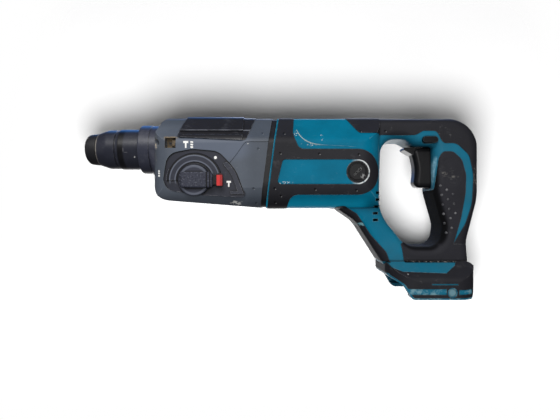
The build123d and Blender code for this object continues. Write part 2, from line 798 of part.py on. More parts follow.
knob_base = floor_y + moving_gap
lever_base = ring_top + 0.5
lever_top = lever_base + 6.2
with BuildPart() as selector_knob:
    with BuildSketch(Plane.XZ.offset(knob_base)):
        with Locations((knob_x, knob_z)):
            Circle(knob_radius)
    extrude(amount=lever_base + 2.0 - knob_base)
    fillet(selector_knob.faces().sort_by(Axis.Y)[0].edges(), 1.2)
    with BuildSketch(Plane.XZ.offset(lever_base)):
        with Locations((knob_x + (lever_reach - 10.5) / 2, knob_z)):
            RectangleRounded(lever_reach + 10.5, 2 * lever_half, 3.0)
    extrude(amount=lever_top - lever_base)
    fillet(selector_knob.faces().sort_by(Axis.Y)[0].edges(), 1.5)
    with BuildSketch(Plane.XZ.offset(lever_base + 1.3)):
        with Locations((knob_x + lever_reach - 3.0, knob_z)):
            Rectangle(7.0, 8.4)
    extrude(amount=3.4, mode=Mode.SUBTRACT)
    add(cross_rod(knob_x, knob_z, shaft_radius, -knob_base, -floor_y + gear_wall + 0.4))
write(selector_knob, "selector_knob")

with BuildPart() as lock_button:
    with BuildSketch(Plane.XZ.offset(lever_base + 1.5)):
        with Locations((knob_x + lever_reach + 1.2, knob_z)):
            Rectangle(9.0, 8.0)
    extrude(amount=3.0)
    with BuildSketch(Plane.XZ.offset(lever_base + 0.4)):
        with Locations((knob_x + lever_reach + 5.2, knob_z)):
            RectangleRounded(5.0, 10.5, 1.5)
    extrude(amount=5.0)
write(lock_button, "lock_button")

crank_face = floor_y - gear_wall - 0.4
start_angle = (180.0 - knob_range) / 2
pin_x = knob_x + crank_radius * math.cos(math.radians(start_angle))
pin_z = knob_z + crank_radius * math.sin(math.radians(start_angle))
slider_front = crank_face - 5.2
with BuildPart() as selector_crank:
    add(cross_rod(knob_x, knob_z, crank_radius + 1.6, -crank_face, -crank_face + 2.2))
    add(cross_rod(pin_x, pin_z, crank_pin_radius, -crank_face + 2.0, -slider_front + 3.0))
write(selector_crank, "selector_crank")

slot_half = crank_pin_radius + 1.1
with BuildPart() as shift_slider:
    slider_side = (-slider_front, -slider_front + 3.0)
    add(block((pin_x - 13.0, pin_x + 11.0), slider_side, (knob_z - 5.0, knob_z + 10.0)))
    add(block((pin_x - 13.0, pin_x + 5.0), (-slider_front, rod_y + 1.0), (rod_z + 0.5, knob_z - 3.0)))
    add(rod(pin_x - 13.0, pin_x + 5.0, rod_radius + 1.8, (rod_y, rod_z)))
    cut(rod(0, far, rod_radius + fit, (rod_y, rod_z)))
    cut(block((pin_x - slot_half, pin_x + slot_half), (-far, far), (knob_z - 2.2, knob_z + 7.2)))
write(shift_slider, "shift_slider")

with BuildPart() as shift_rod:
    add(rod(gear_front + 3.4, plate_front + 3.8, rod_radius, (rod_y, rod_z)))
write(shift_rod, "shift_rod")

# Motor
rear_bearing_x = opening_front - 11.0
pinion_front = plate_front - 10.0
with BuildPart() as armature_shaft:
    add(rod(plate_front - 1.0, rear_bearing_x + 6.0, shaft_radius, motor_axis))
    turn = angle_to(motor_axis, mid_axis)
    add(gear_teeth(motor_teeth, fast_module, pinion_front, plate_front - 0.5, motor_axis, turn))
write(armature_shaft, "armature_shaft")

yoke_front = seam_low + 20.0
yoke_rear = brush_x - 12.5
core_front = yoke_front + 5.0
core_rear = yoke_rear - 4.0
with BuildPart() as armature_core:
    with BuildSketch(Plane(origin=(core_front, 0, motor_z), x_dir=(0, 1, 0), z_dir=(1, 0, 0))):
        Circle(core_radius)
        with PolarLocations(core_radius - 3.5, 12):
            Rectangle(9.0, 2.4, mode=Mode.SUBTRACT)
        Circle(shaft_radius + fit, mode=Mode.SUBTRACT)
    extrude(amount=core_rear - core_front)
write(armature_core, "armature_core")

coil_profile = [(0, 7.5), (2.5, 6.5), (5.5, 8.5), (6.0, 13.0), (3.0, 15.5), (0, 15.5)]
with BuildPart() as armature_windings:
    add(turned([(core_rear + x, r) for x, r in coil_profile], motor_axis, [0, 1, 2, 3, 2, 0]))
    add(turned([(core_front - x, r) for x, r in coil_profile], motor_axis, [0, 1, 2, 3, 2, 0]))
write(armature_windings, "armature_windings")

with BuildPart() as commutator:
    add(tube(brush_x - 7.5, brush_x + 7.5, commutator_radius, shaft_radius + fit, motor_axis))
write(commutator, "commutator")

fan_front = seam_low + 3.5
fan_blades = 10
with BuildPart() as fan:
    add(tube(fan_front, fan_front + 9.0, 6.5, shaft_radius + fit, motor_axis))
    add(tube(fan_front + 7.5, fan_front + 9.0, yoke_radius - 1.0, 5.0, motor_axis))
    with BuildSketch(Plane(origin=(fan_front + 1.0, 0, motor_z), x_dir=(0, 1, 0), z_dir=(1, 0, 0))):
        with PolarLocations((yoke_radius + 5.0) / 2, fan_blades):
            Rectangle(yoke_radius - 7.0, 1.6)
    extrude(amount=7.0)
write(fan, "fan")

with BuildPart() as armature_bearings:
    add(tube(plate_front + 1.0, plate_front + 7.0, armature_bearing_radius, shaft_radius + fit, motor_axis))
    add(tube(rear_bearing_x, rear_bearing_x + 5.0, 8.0, shaft_radius + fit, motor_axis))
write(armature_bearings, "armature_bearings")

with BuildPart() as motor_yoke:
    add(tube(yoke_front, yoke_rear, yoke_radius, yoke_radius - yoke_wall, motor_axis))
write(motor_yoke, "motor_yoke")

magnet_radius = yoke_radius - yoke_wall - fit
with BuildPart() as field_magnets:
    with BuildSketch(Plane(origin=(core_front - 1.0, 0, motor_z), x_dir=(0, 1, 0), z_dir=(1, 0, 0))):
        Circle(magnet_radius)
        Circle(core_radius + 0.6, mode=Mode.SUBTRACT)
        Rectangle(12.0, 80.0, mode=Mode.SUBTRACT)
    extrude(amount=core_rear - core_front + 2.0)
write(field_magnets, "field_magnets")

holder_outer = body_half - 6.0
with BuildPart() as brush_holders:
    for side in (1, -1):
        span = sorted((side * 13.0, side * holder_outer))
        add(block((brush_x - 4.5, brush_x + 4.5), span, (motor_z - 6.0, motor_z + 6.0)))
        cut(block((brush_x - 3.3, brush_x + 3.3), span, (motor_z - 4.8, motor_z + 4.8)))
write(brush_holders, "brush_holders")

with BuildPart() as carbon_brushes:
    for side in (1, -1):
        span = sorted((side * (commutator_radius + moving_gap), side * 25.0))
        add(block((brush_x - 3.15, brush_x + 3.15), span, (motor_z - 4.65, motor_z + 4.65)))
write(carbon_brushes, "carbon_brushes")

coin_long = brush_cap_radius * 0.34
coin_wide = brush_cap_radius * 0.20
coin_points = [
    (brush_x - coin_long, motor_z - coin_wide), (brush_x + coin_wide, motor_z + coin_long),
    (brush_x + coin_long, motor_z + coin_wide), (brush_x - coin_wide, motor_z - coin_long),
]
with BuildPart() as coin_slots:
    add(side_prism(coin_points, None, 0))
    cut(block((-far, far), (2.2 - body_half, body_half - 2.2), (-far, far)))
with BuildPart() as brush_caps:
    for side in (1, -1):
        cap_side = sorted((side * (holder_outer + 0.1), side * (body_half + 0.2)))
        add(cross_rod(brush_x, motor_z, brush_cap_radius, *cap_side))
    cut(coin_slots.part)
write(brush_caps, "brush_caps")

# Trigger, reverse lever, switch and battery contacts
trigger_top = trigger_roof - 0.6
trigger_bottom = trigger_roof - 36.8
trigger_rear = grip_front + 2.7
stem_z = trigger_top - 18.5
trigger_nose = grip_front - 23.0
trigger_side = [
    (grip_front - 17.0, trigger_top), (trigger_rear, trigger_top), (trigger_rear, trigger_bottom),
    (grip_front - 14.5, trigger_bottom), (grip_front - 12.3, trigger_bottom + 17.0),
]
lip_side = [
    (trigger_nose, trigger_top - 0.1), (grip_front - 8.0, trigger_top - 0.1),
    (grip_front - 8.0, trigger_top - 9.0), (grip_front - 15.5, trigger_top - 6.5),
    (trigger_nose, trigger_top - 2.3),
]
with BuildPart() as trigger:
    trigger_face = outline(Plane.XZ.offset(trigger_half), trigger_side, [5.2, 0, 0, 5.2, 40])
    add(thick(trigger_face, 2 * trigger_half, (0, 1, 0)))
    front_edges = trigger.faces().filter_by(Axis.Y).edges().group_by(Axis.X)[0]
    fillet(front_edges, trigger_edge)
    lip_half = trigger_half - 1.6
    lip_face = outline(Plane.XZ.offset(lip_half), lip_side, [0.7, 0, 0, 5, 0.7])
    add(thick(lip_face, 2 * lip_half, (0, 1, 0)))
    add(block((trigger_rear - 1.0, grip_front + 11.7), (-4.0, 4.0), (stem_z - 5.0, stem_z + 5.0)))
write(trigger, "trigger")

switch_front = grip_front + 11.0
switch_half = handle_half - shell_wall - 0.2
with BuildPart() as switch_body:
    switch_height = (trigger_bottom - 3.0, trigger_top - 3.5)
    add(block((switch_front, switch_front + 22.0), (-switch_half, switch_half), switch_height))
    cut(block((switch_front - 1, switch_front + 8.0), (-4.3, 4.3), (stem_z - 5.3, stem_z + 5.3)))
write(switch_body, "switch_body")

reverse_x = grip_front - 4.0
reverse_z = trigger_roof + 4.2
with BuildPart() as reverse_lever:
    with BuildSketch(Plane.XZ):
        with Locations((reverse_x, reverse_z)):
            SlotOverall(13.0, 5.4)
    extrude(amount=handle_half + 1.3, both=True)
write(reverse_lever, "reverse_lever")

slot_roof = foot_bottom + 14.0
slot_lip = foot_bottom + 3.5
slot_half_width = foot_half - 5.5
contact_front = opening_front + 44.0
with BuildPart() as terminal_block:
    add(block((contact_front, contact_front + 22.0), (-15.0, 15.0), (slot_roof - 4.0, slot_roof + 3.6)))
    flange_height = (slot_roof + 3.5, slot_roof + 9.0)
    add(block((contact_front - 3.0, contact_front + 24.0), (-18.0, 18.0), flange_height))
    for y in (-8.0, 8.0):
        cut(block((0, contact_front + 14.0), (y - 0.52, y + 0.52), (slot_roof - 3.05, slot_roof + 3.05)))
write(terminal_block, "terminal_block")

with BuildPart() as contact_blades:
    for y in (-8.0, 8.0):
        blade_height = (slot_roof - 3.0, slot_roof - 0.4)
        add(block((contact_front - 12.0, contact_front + 14.0), (y - 0.5, y + 0.5), blade_height))
write(contact_blades, "contact_blades")

# Rear housing: soft overmoulds first, then the two halves that carry them
band_half = 18.8
badge_half = 10.3
band_region = [
    (seam_low - 14.0, body_top + 10.0), (seam_low + 25.0, body_top + 10.0), (seam_low + 22.7, 9.0),
    (seam_low + 28.0, motor_z + band_half), (brush_x + band_half, motor_z + band_half),
    (brush_x + band_half, motor_z - band_half), (seam_low + 21.5, motor_z - band_half),
    (seam_low + 14.5, body_bottom - 10.0), (seam_low - 14.0, body_bottom - 10.0),
]
band_rounds = [0, 0, 20, 6, band_half - 0.1, band_half - 0.1, 8, 0, 0]
badge_region = [
    (seam_low + 14.5, motor_z + badge_half), (brush_x + badge_half, motor_z + badge_half),
    (brush_x + badge_half, motor_z - badge_half), (seam_low + 9.5, motor_z - badge_half),
]
badge_rounds = [3, badge_half - 0.1, badge_half - 0.1, 3]
spine_tip = (arc_rear - 26.7, opening_bottom + 3.0)
spine_region = [
    (opening_front - 30.0, body_top + 20.0), (opening_front - 29.5, handle_top),
    (opening_front - 20.0, opening_top + 2.9),
    (opening_front + 31.0, opening_top + 2.9), (opening_front + 37.5, opening_top + 6.6),
    (arc_rear - 41.0, opening_top + 6.6), (arc_rear - 35.5, opening_top - 4.2),
    (arc_rear - 24.0, opening_top - 3.9),
    (arc_rear - 13.0, opening_top - 14.4), (arc_rear - 9.2, opening_top - 32.0),
    (arc_rear - 10.5, opening_top - 57.0),
    (arc_rear - 16.0, opening_bottom + 21.0), spine_tip, (grip_rear + 10.0, opening_bottom + 3.0),
    (grip_rear + 10.0, body_top + 20.0),
]
spine_rounds = [0, 0, 4, 6, 4, 5, 5, 10, 12, 25, 30, 10, 0, 0, 0]
grip_region = [
    spine_tip, (arc_rear - 20.2, opening_bottom + 25.0), (arc_rear - 16.2, opening_top - 47.0),
    (arc_rear - 15.8, opening_top - 31.0), (arc_rear - 19.5, opening_top - 18.0),
    (arc_rear - 27.0, opening_top - 11.4),
    (arc_rear - 36.0, opening_top - 11.4), (arc_rear - 39.0, opening_top - 17.0),
    (arc_rear - 42.0, opening_top - 45.0),
    (arc_rear - 47.0, opening_top - 51.0), (arc_rear - 60.0, opening_top - 51.0),
    (arc_rear - 60.0, opening_bottom + 8.0),
    (opening_front + 18.5, opening_bottom + 3.0), (opening_front + 21.0, foot_top - 0.3),
    (grip_rear + 10.0, foot_top - 0.3),
    (grip_rear + 10.0, opening_bottom + 3.0),
]
grip_rounds = [0, 40, 30, 15, 10, 6, 5, 10, 6, 0, 0, 0, 0, 0, 0, 0]
brace_region = [
    (opening_front - 38.0, body_bottom + 1.0), (opening_front - 31.0, body_bottom + 2.0),
    (opening_front - 19.5, body_bottom - 5.0),
    (opening_front - 8.0, body_bottom - 23.0), (opening_front + 5.5, opening_bottom - 4.0),
    (opening_front + 8.5, foot_top - 0.3),
    (opening_front - 12.0, foot_top - 0.3), (opening_front - 50.0, body_bottom - 17.0),
]
brace_rounds = [0, 6, 12, 30, 8, 0, 0, 0]
foot_rim = 1.6
boss_x = opening_front + 56.2
boss_z = foot_bottom + 6.0
windows = [
    [(opening_front + 3.0, foot_top + 3.0), (opening_front + 66.0, foot_top + 3.0),
    (opening_front + 62.5, foot_top - 2.8), (opening_front + 53.0, foot_top - 8.6),
    (opening_front + 17.0, foot_top - 7.4), (opening_front + 8.0, foot_top - 4.0)],
    [(opening_front + 19.0, foot_bottom + 9.2), (opening_front + 51.5, foot_bottom + 9.2),
    (opening_front + 51.5, foot_bottom + 4.2), (opening_front + 19.0, foot_bottom + 4.2)],
    [(opening_front + 61.5, foot_bottom + 8.4), (opening_front + 75.0, foot_bottom + 8.4),
    (opening_front + 75.0, foot_bottom + 4.2), (opening_front + 61.5, foot_bottom + 4.2)],
    [(opening_front + 39.0, foot_bottom + 13.5), (opening_front + 61.0, foot_bottom + 13.5),
    (opening_front + 61.0, foot_bottom + 12.2), (opening_front + 39.0, foot_bottom + 12.2)],
]

outer = body_form(0)
with BuildPart() as skin:
    add(body_form(skin_proud))
    cut(body_form(-skin_depth))
    keep(behind_seam(seam_low + seam_edge))

with BuildPart() as trigger_window:
    window_half = trigger_half + 0.35
    window_height = (trigger_bottom - 0.4, trigger_top + 0.35)
    window_depth = (grip_front - 6.0, trigger_rear + trigger_travel + moving_gap)
    add(block(window_depth, (-window_half, window_half), window_height))
with BuildPart() as lever_slot:
    with BuildSketch(Plane.XZ):
        with Locations((reverse_x, reverse_z)):
            SlotOverall(13.4, 5.8)
    extrude(amount=far, both=True)
with BuildPart() as battery_slot:
    slot_span = (foot_front - 5.0, foot_rear - 10.0)
    mouth_half = slot_half_width - 4.0
    contact_span = (contact_front - slip, contact_front + 22.0 + slip)
    add(block(slot_span, (-slot_half_width, slot_half_width), (slot_lip, slot_roof)))
    add(block(slot_span, (-mouth_half, mouth_half), (foot_bottom - 10.0, slot_lip + 0.5)))
    add(block(contact_span, (-15.0 - slip, 15.0 + slip), (slot_roof - 1.0, slot_roof + 4.0)))

vents = [body_bottom + 13.0 - 5.8 * row for row in range(5)]
with BuildPart() as vent_slots:
    for z in vents:
        for side in (1, -1):
            vent_side = sorted((side * 10.0, side * far))
            add(block((opening_front - 6.0, opening_front - 1.5), vent_side, (z - 1.1, z + 1.1)))

with BuildPart() as hollow:
    add(body_form(-shell_wall))
    cut(block((foot_front - 10.0, foot_rear + 10.0), (-far, far), (foot_bottom - 20.0, slot_roof + 3.5)))
    for x in (yoke_front + 3.0, yoke_rear - 7.0):
        with BuildSketch(Plane(origin=(x, 0, motor_z), x_dir=(0, 1, 0), z_dir=(1, 0, 0))):
            Rectangle(4 * yoke_radius, 4 * yoke_radius)
            with Locations((0, 2 * yoke_radius + 25.0)):
                Rectangle(4 * yoke_radius, 2 * yoke_radius, mode=Mode.SUBTRACT)
            Circle(yoke_radius + fit, mode=Mode.SUBTRACT)
        extrude(amount=4.0, mode=Mode.SUBTRACT)
    with BuildSketch(Plane(origin=(rear_bearing_x, 0, motor_z), x_dir=(0, 1, 0), z_dir=(1, 0, 0))):
        Rectangle(4 * yoke_radius, 30.0)
        Circle(8.0 + fit, mode=Mode.SUBTRACT)
    extrude(amount=12.0, mode=Mode.SUBTRACT)
    for side in (1, -1):
        cut(cross_rod(brush_x, motor_z, 11.5, *sorted((side * 22.0, side * body_half))))
    for centre in columns:
        cut(rod(0, seam_low + 18.0, column_radius, centre))
    for x, z in shell_screws:
        cut(cross_rod(x, z, boss_radius, -far, far))

with BuildPart() as brace_pads:
    add(skin.part)
    keep(side_prism(brace_region, brace_rounds, 0))
    split(bisect_by=Plane.XZ, keep=Keep.BOTH)
write(brace_pads, "brace_pads")

with BuildPart() as pad_cover:
    add(side_prism(foot_side, foot_rounds, 0, -foot_rim))
    add(block((foot_front - 5.0, foot_front + 7.0), (-far, far), (foot_top - 9.5, foot_top + 5.0)))
    add(block((opening_front + 60.0, foot_rear + 5.0), (-far, far), (foot_top - 6.0, foot_top + 4.0)))

with BuildPart() as foot_pads:
    add(foot_form(skin_proud))
    keep(pad_cover.part)
    cut(foot_form(-skin_depth))
    for window in windows:
        cut(side_prism(window, None, 0))
    cut(cross_rod(boss_x, boss_z, 4.2, -far, far))
    cut(battery_slot.part)
    split(bisect_by=Plane.XZ, keep=Keep.BOTH)
write(foot_pads, "foot_pads")

for side, name in ((1, "left"), (-1, "right")):
    with BuildPart() as band:
        add(skin.part)
        keep(side_prism(band_region, band_rounds, side))
        cut(side_prism(badge_region, badge_rounds, side))
    write(band, f"{name}_motor_band")
    with BuildPart() as spine:
        add(skin.part)
        keep(side_prism(spine_region, spine_rounds, side))
        if side < 0:
            for x, z in shell_screws:
                cut(cross_rod(x, z, 4.0, 0, far))
    write(spine, f"{name}_handle_spine")
    with BuildPart() as grip:
        add(skin.part)
        keep(side_prism(grip_region, grip_rounds, side))
        cut(foot_pads.part)
        cut(trigger_window.part)
        if side < 0:
            for x, z in shell_screws:
                cut(cross_rod(x, z, 4.0, 0, far))
    write(grip, f"{name}_grip_panel")
    with BuildPart() as half:
        add(outer)
        keep(behind_seam(seam_low))
        keep(block((0, far), sorted((0.0, -side * far)), (-far, far)))
        cut(hollow.part)
        for pad in (band, spine, grip, brace_pads, foot_pads):
            cut(pad.part)
        cut(trigger_window.part)
        cut(lever_slot.part)
        cut(battery_slot.part)
        cut(vent_slots.part)
        cap_side = sorted((-side * holder_outer, -side * far))
        holder_side = sorted((-side * 12.0, -side * far))
        cut(cross_rod(brush_x, motor_z, brush_cap_radius + fit, *cap_side))
        cut(block((brush_x - 4.55, brush_x + 4.55), holder_side, (motor_z - 6.05, motor_z + 6.05)))
        for centre in columns:
            cut(rod(0, screw_tip_x + 0.5, 2.0 + fit, centre))
        for x, z in shell_screws:
            cut(cross_rod(x, z, 1.75 + fit, -10.0, far))
            cut(cross_rod(x, z, 4.0, 10.0, far))
        cut(cross_rod(boss_x, boss_z, 1.5 + fit, -far, far))
        cut(cross_rod(boss_x, boss_z, 3.2, *sorted((-side * (foot_half - 1.6), -side * far))))
    write(half, f"{name}_housing")

with BuildPart() as shell_screw_set:
    for x, z in shell_screws:
        add(cross_rod(x, z, 3.5, 10.0, 13.0))
        add(cross_rod(x, z, 1.75, -9.5, 10.5))
        cut(thick(outline(Plane.XZ.offset(-13.5), six_corners(x, z, 2.0)), 2.0, (0, -1, 0)))
write(shell_screw_set, "shell_screws")

with BuildPart() as foot_screws:
    for side in (1, -1):
        head_side = sorted((side * (foot_half - 1.6), side * (foot_half - 0.4)))
        shank_side = sorted((side * (slot_half_width + 0.2), side * (foot_half - 1.0)))
        add(cross_rod(boss_x, boss_z, 3.0, *head_side))
        add(cross_rod(boss_x, boss_z, 1.5, *shank_side))
        drive = outline(Plane.XZ.offset(side * (foot_half - 1.2)), six_corners(boss_x, boss_z, 1.4))
        cut(thick(drive, 5.0, (0, -side, 0)))
write(foot_screws, "foot_screws")
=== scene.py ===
"""Finishes, surface details and stage for a cordless rotary hammer, over its CAD frame."""

import json
import math

import bpy
from bpy.props import FloatProperty, FloatVectorProperty, IntProperty, PointerProperty
from mathutils import Matrix, Vector


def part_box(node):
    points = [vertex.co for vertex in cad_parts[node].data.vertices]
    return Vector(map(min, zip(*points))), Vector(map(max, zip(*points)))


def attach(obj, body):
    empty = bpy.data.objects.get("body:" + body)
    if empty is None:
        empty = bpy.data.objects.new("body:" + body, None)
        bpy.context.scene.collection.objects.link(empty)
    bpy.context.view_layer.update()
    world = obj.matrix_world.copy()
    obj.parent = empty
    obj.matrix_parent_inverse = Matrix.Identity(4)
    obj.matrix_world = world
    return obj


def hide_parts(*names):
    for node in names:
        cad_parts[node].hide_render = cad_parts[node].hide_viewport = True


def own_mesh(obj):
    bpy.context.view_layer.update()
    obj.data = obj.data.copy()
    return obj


bl_info = {
    "name": "Rotary hammer finish",
    "version": (1, 0, 0),
    "blender": (4, 5, 0),
    "location": "View3D > Sidebar > Hammer",
    "description": "Materials, raised details and stage for a cordless rotary hammer",
    "category": "Object",
}

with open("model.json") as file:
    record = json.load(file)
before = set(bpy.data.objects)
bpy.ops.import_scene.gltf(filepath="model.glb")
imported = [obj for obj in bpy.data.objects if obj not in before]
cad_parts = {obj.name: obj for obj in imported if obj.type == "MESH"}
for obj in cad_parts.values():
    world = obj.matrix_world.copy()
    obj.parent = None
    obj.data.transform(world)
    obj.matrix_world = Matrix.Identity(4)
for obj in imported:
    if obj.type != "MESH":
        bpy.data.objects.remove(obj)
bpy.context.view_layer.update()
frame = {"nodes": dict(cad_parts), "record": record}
NODES = frame["nodes"]
MM = 0.001
SIDES = ((-1, "left"), (1, "right"))

# Places on the tool, in millimetres along X and Z, that its finishes and details follow
BRUSH_CAP = (237.1, -23.0)
SELECTOR = (102.3, -30.0)
GEAR_FRONT = 67.0
FOOT_SEAM = -98.9
BAND_PITS = [
    (176.3, 9.4), (173.1, -7.7), (205.3, -8.1), (237.9, -8.7), (168.6, -36.7), (173.5, -42.8),
    (202.0, -37.4), (236.1, -38.1), (168.9, -48.2), (240.5, 11.6), (263.8, 13.6),
]
FLANGE_PITS = [(158.2, 9.7), (154.9, -3.9), (151.0, -36.8), (152.7, -48.7)]
PANEL_RIDGE = [
    (187.0, 13.5), (188.2, 9.6), (190.4, 6.0), (193.4, 3.2), (197.5, 1.0), (202.5, -0.4),
    (210.0, -1.0), (222.0, -1.5), (236.0, -2.3),
]

# Grip dots: the first one's place, the steps to the next column and row, the field that they
# fill, which narrows at the back below a height, and the steps of one dot's dome
DOT_START, DOT_COLUMN, DOT_ROW = (308.6, -46.0), (5.3, -3.8), (1.1, -8.2)
DOT_COLUMNS, DOT_ROWS = range(0, 4), range(-2, 5)
DOT_LOWEST, DOT_HIGHEST, DOT_BACK = -82, -27, 327
DOT_NARROWS, DOT_SLOPE = -60, 0.25
DOT_FOOT = 1.25
DOT_STEPS = ((0.45, 0.80), (0.35, 0.82), (0.20, 0.62))

# Stage, in metres, and the sensor's width in millimetres
TOOL_MIDDLE = (0.17, 0.0, -0.04)
BACKDROP_PLACE, BACKDROP_SIZE, BACKDROP_LEAN = (0.17, 0.046, -0.09), 6.0, math.radians(76)
PAPER_GREY = (0.20, 0.20, 0.20, 1.0)
SENSOR_WIDTH, NEAREST, FURTHEST = 36.0, 0.01, 20.0
LAMP_GLOSS = 0.15

# World: the ways to the lit panels that gloss shows, and the colours of its light
UPPER_PANEL, SIDE_PANEL = (-0.1, -0.60, 0.72), (-0.85, -0.5, 0.2)
SKY_LOW, SKY_HIGH, SKY_BEHIND = (0.50, 0.50, 0.50), (1.0, 1.0, 1.0), (0.25, 0.25, 0.27)
ROOM_DARK, PANEL_LIGHT, BLUE_GLOW = (0.14, 0.14, 0.15), (1.5, 1.5, 1.55), (0.25, 1.35, 4.2)


def srgb(red, green, blue):
    """A colour written in screen values from 0 to 255, as the light values that a shader takes."""

    def light(value):
        value /= 255
        return value / 12.92 if value <= 0.04045 else ((value + 0.055) / 1.055) ** 2.4

    return light(red), light(green), light(blue)


# Colours of wear and dirt, and colours of painted light, painted shade and painted highlights
CHIP_WHITE, CHIP_GREY = srgb(225, 228, 228), srgb(150, 150, 156)
PALE_GREY, PALE_TEAL = srgb(150, 150, 150), srgb(150, 190, 198)
# The streak's colour is a painted highlight
STREAK_HIGHLIGHT, HANDLED_TEAL = srgb(150, 208, 232), srgb(66, 92, 98)
# The lit teal is painted light
LIT_TEAL, FOOT_SCUFF = srgb(14, 156, 194), srgb(150, 182, 188)
REAR_SCUFF, BRACE_SCUFF = srgb(170, 160, 146), srgb(112, 160, 170)
# The grip's inner colour is painted shade
GRIP_SMEAR, GRIP_INNER_SHADE, SEAM_DUST = srgb(140, 138, 132), srgb(2, 2, 3), srgb(150, 150, 146)
# Painted light and painted shade on the gear housing
CASING_LIT, CASING_TOP_BACK_SHADE, CASING_LOW_SHADE = srgb(86, 95, 112), srgb(58, 65, 75), srgb(56, 60, 68)
BARE_ALLOY, CASING_CHIP, CAKED_DIRT = srgb(190, 174, 150), srgb(206, 206, 202), srgb(128, 112, 88)
# A painted highlight
SADDLE_EDGE_HIGHLIGHT = srgb(124, 128, 138)
# The groove's colour is a painted shadow
LIP_DUST, SLEEVE_GROOVE_SHADOW = srgb(150, 144, 136), srgb(6, 6, 8)
SLEEVE_SCAR, SLEEVE_NICK = srgb(96, 96, 100), srgb(190, 190, 190)
# Painted light, painted shade and painted highlights on the selector's plate
DISH_LAND_LIGHT, DISH_CUT_SHADE, DISH_EDGE_HIGHLIGHT = srgb(78, 82, 94), srgb(9, 9, 11), srgb(124, 130, 146)
# Painted light on the disc's arc and painted shade in the lever's grooves
LEVER_ARC_LIGHT, LEVER_GROOVE_SHADE = srgb(112, 118, 132), srgb(8, 8, 10)
# Painted light on the pebbles' tops and painted shade between them
PEBBLE_TOP_LIGHT, PEBBLE_GAP_SHADE = srgb(120, 122, 130), srgb(14, 14, 16)
# The second colour is painted shade on the cap's back
BUTTON_STEM, BUTTON_SHADE = srgb(22, 20, 22), srgb(96, 18, 22)
# The first is painted shade in the brush cap's groove
CAP_GROOVE_SHADE, SCREW_DIRT = srgb(4, 4, 5), srgb(120, 104, 82)
# The first is a painted highlight on the grip's dots
DOT_HIGHLIGHT, RIDGE_CREST, PRINT_GONE = srgb(158, 158, 160), srgb(170, 184, 180), srgb(120, 122, 128)


class Value:
    """A shader value: a sum written on it adds the node that works it out."""

    def __init__(self, graph, socket):
        self.graph, self.socket = graph, socket

    def _sum(self, operation, *terms):
        return self.graph.node("ShaderNodeMath", {"operation": operation}, dict(enumerate(terms)))

    def __add__(self, other):
        return self._sum("ADD", self, other)

    __radd__ = __add__

    def __sub__(self, other):
        return self._sum("SUBTRACT", self, other)

    def __rsub__(self, other):
        return self._sum("SUBTRACT", other, self)

    def __mul__(self, other):
        return self._sum("MULTIPLY", self, other)

    __rmul__ = __mul__

    def __truediv__(self, other):
        return self._sum("DIVIDE", self, other)

    def __pow__(self, other):
        return self._sum("POWER", self, other)

    def __abs__(self):
        return self._sum("ABSOLUTE", self)

    def __or__(self, other):
        return self._sum("MAXIMUM", self, other)

    def rise(self, low, high):
        """0 below low, 1 above high, smooth between; the other way round if low is the larger."""
        settings = {"interpolation_type": "SMOOTHSTEP", "clamp": True}
        limits = {1: low, 2: high, 3: 0.0, 4: 1.0}
        return self.graph.node("ShaderNodeMapRange", settings, {0: self, **limits})

    def band(self, middle, reach, core):
        """1 within core of a middle, 0 beyond reach and smooth between."""
        return abs(self - middle).rise(reach, core)

    def span(self, start, full, fade, end):
        """0 outside start and end, 1 from full to fade and smooth between."""
        return self.rise(start, full) * self.rise(end, fade)


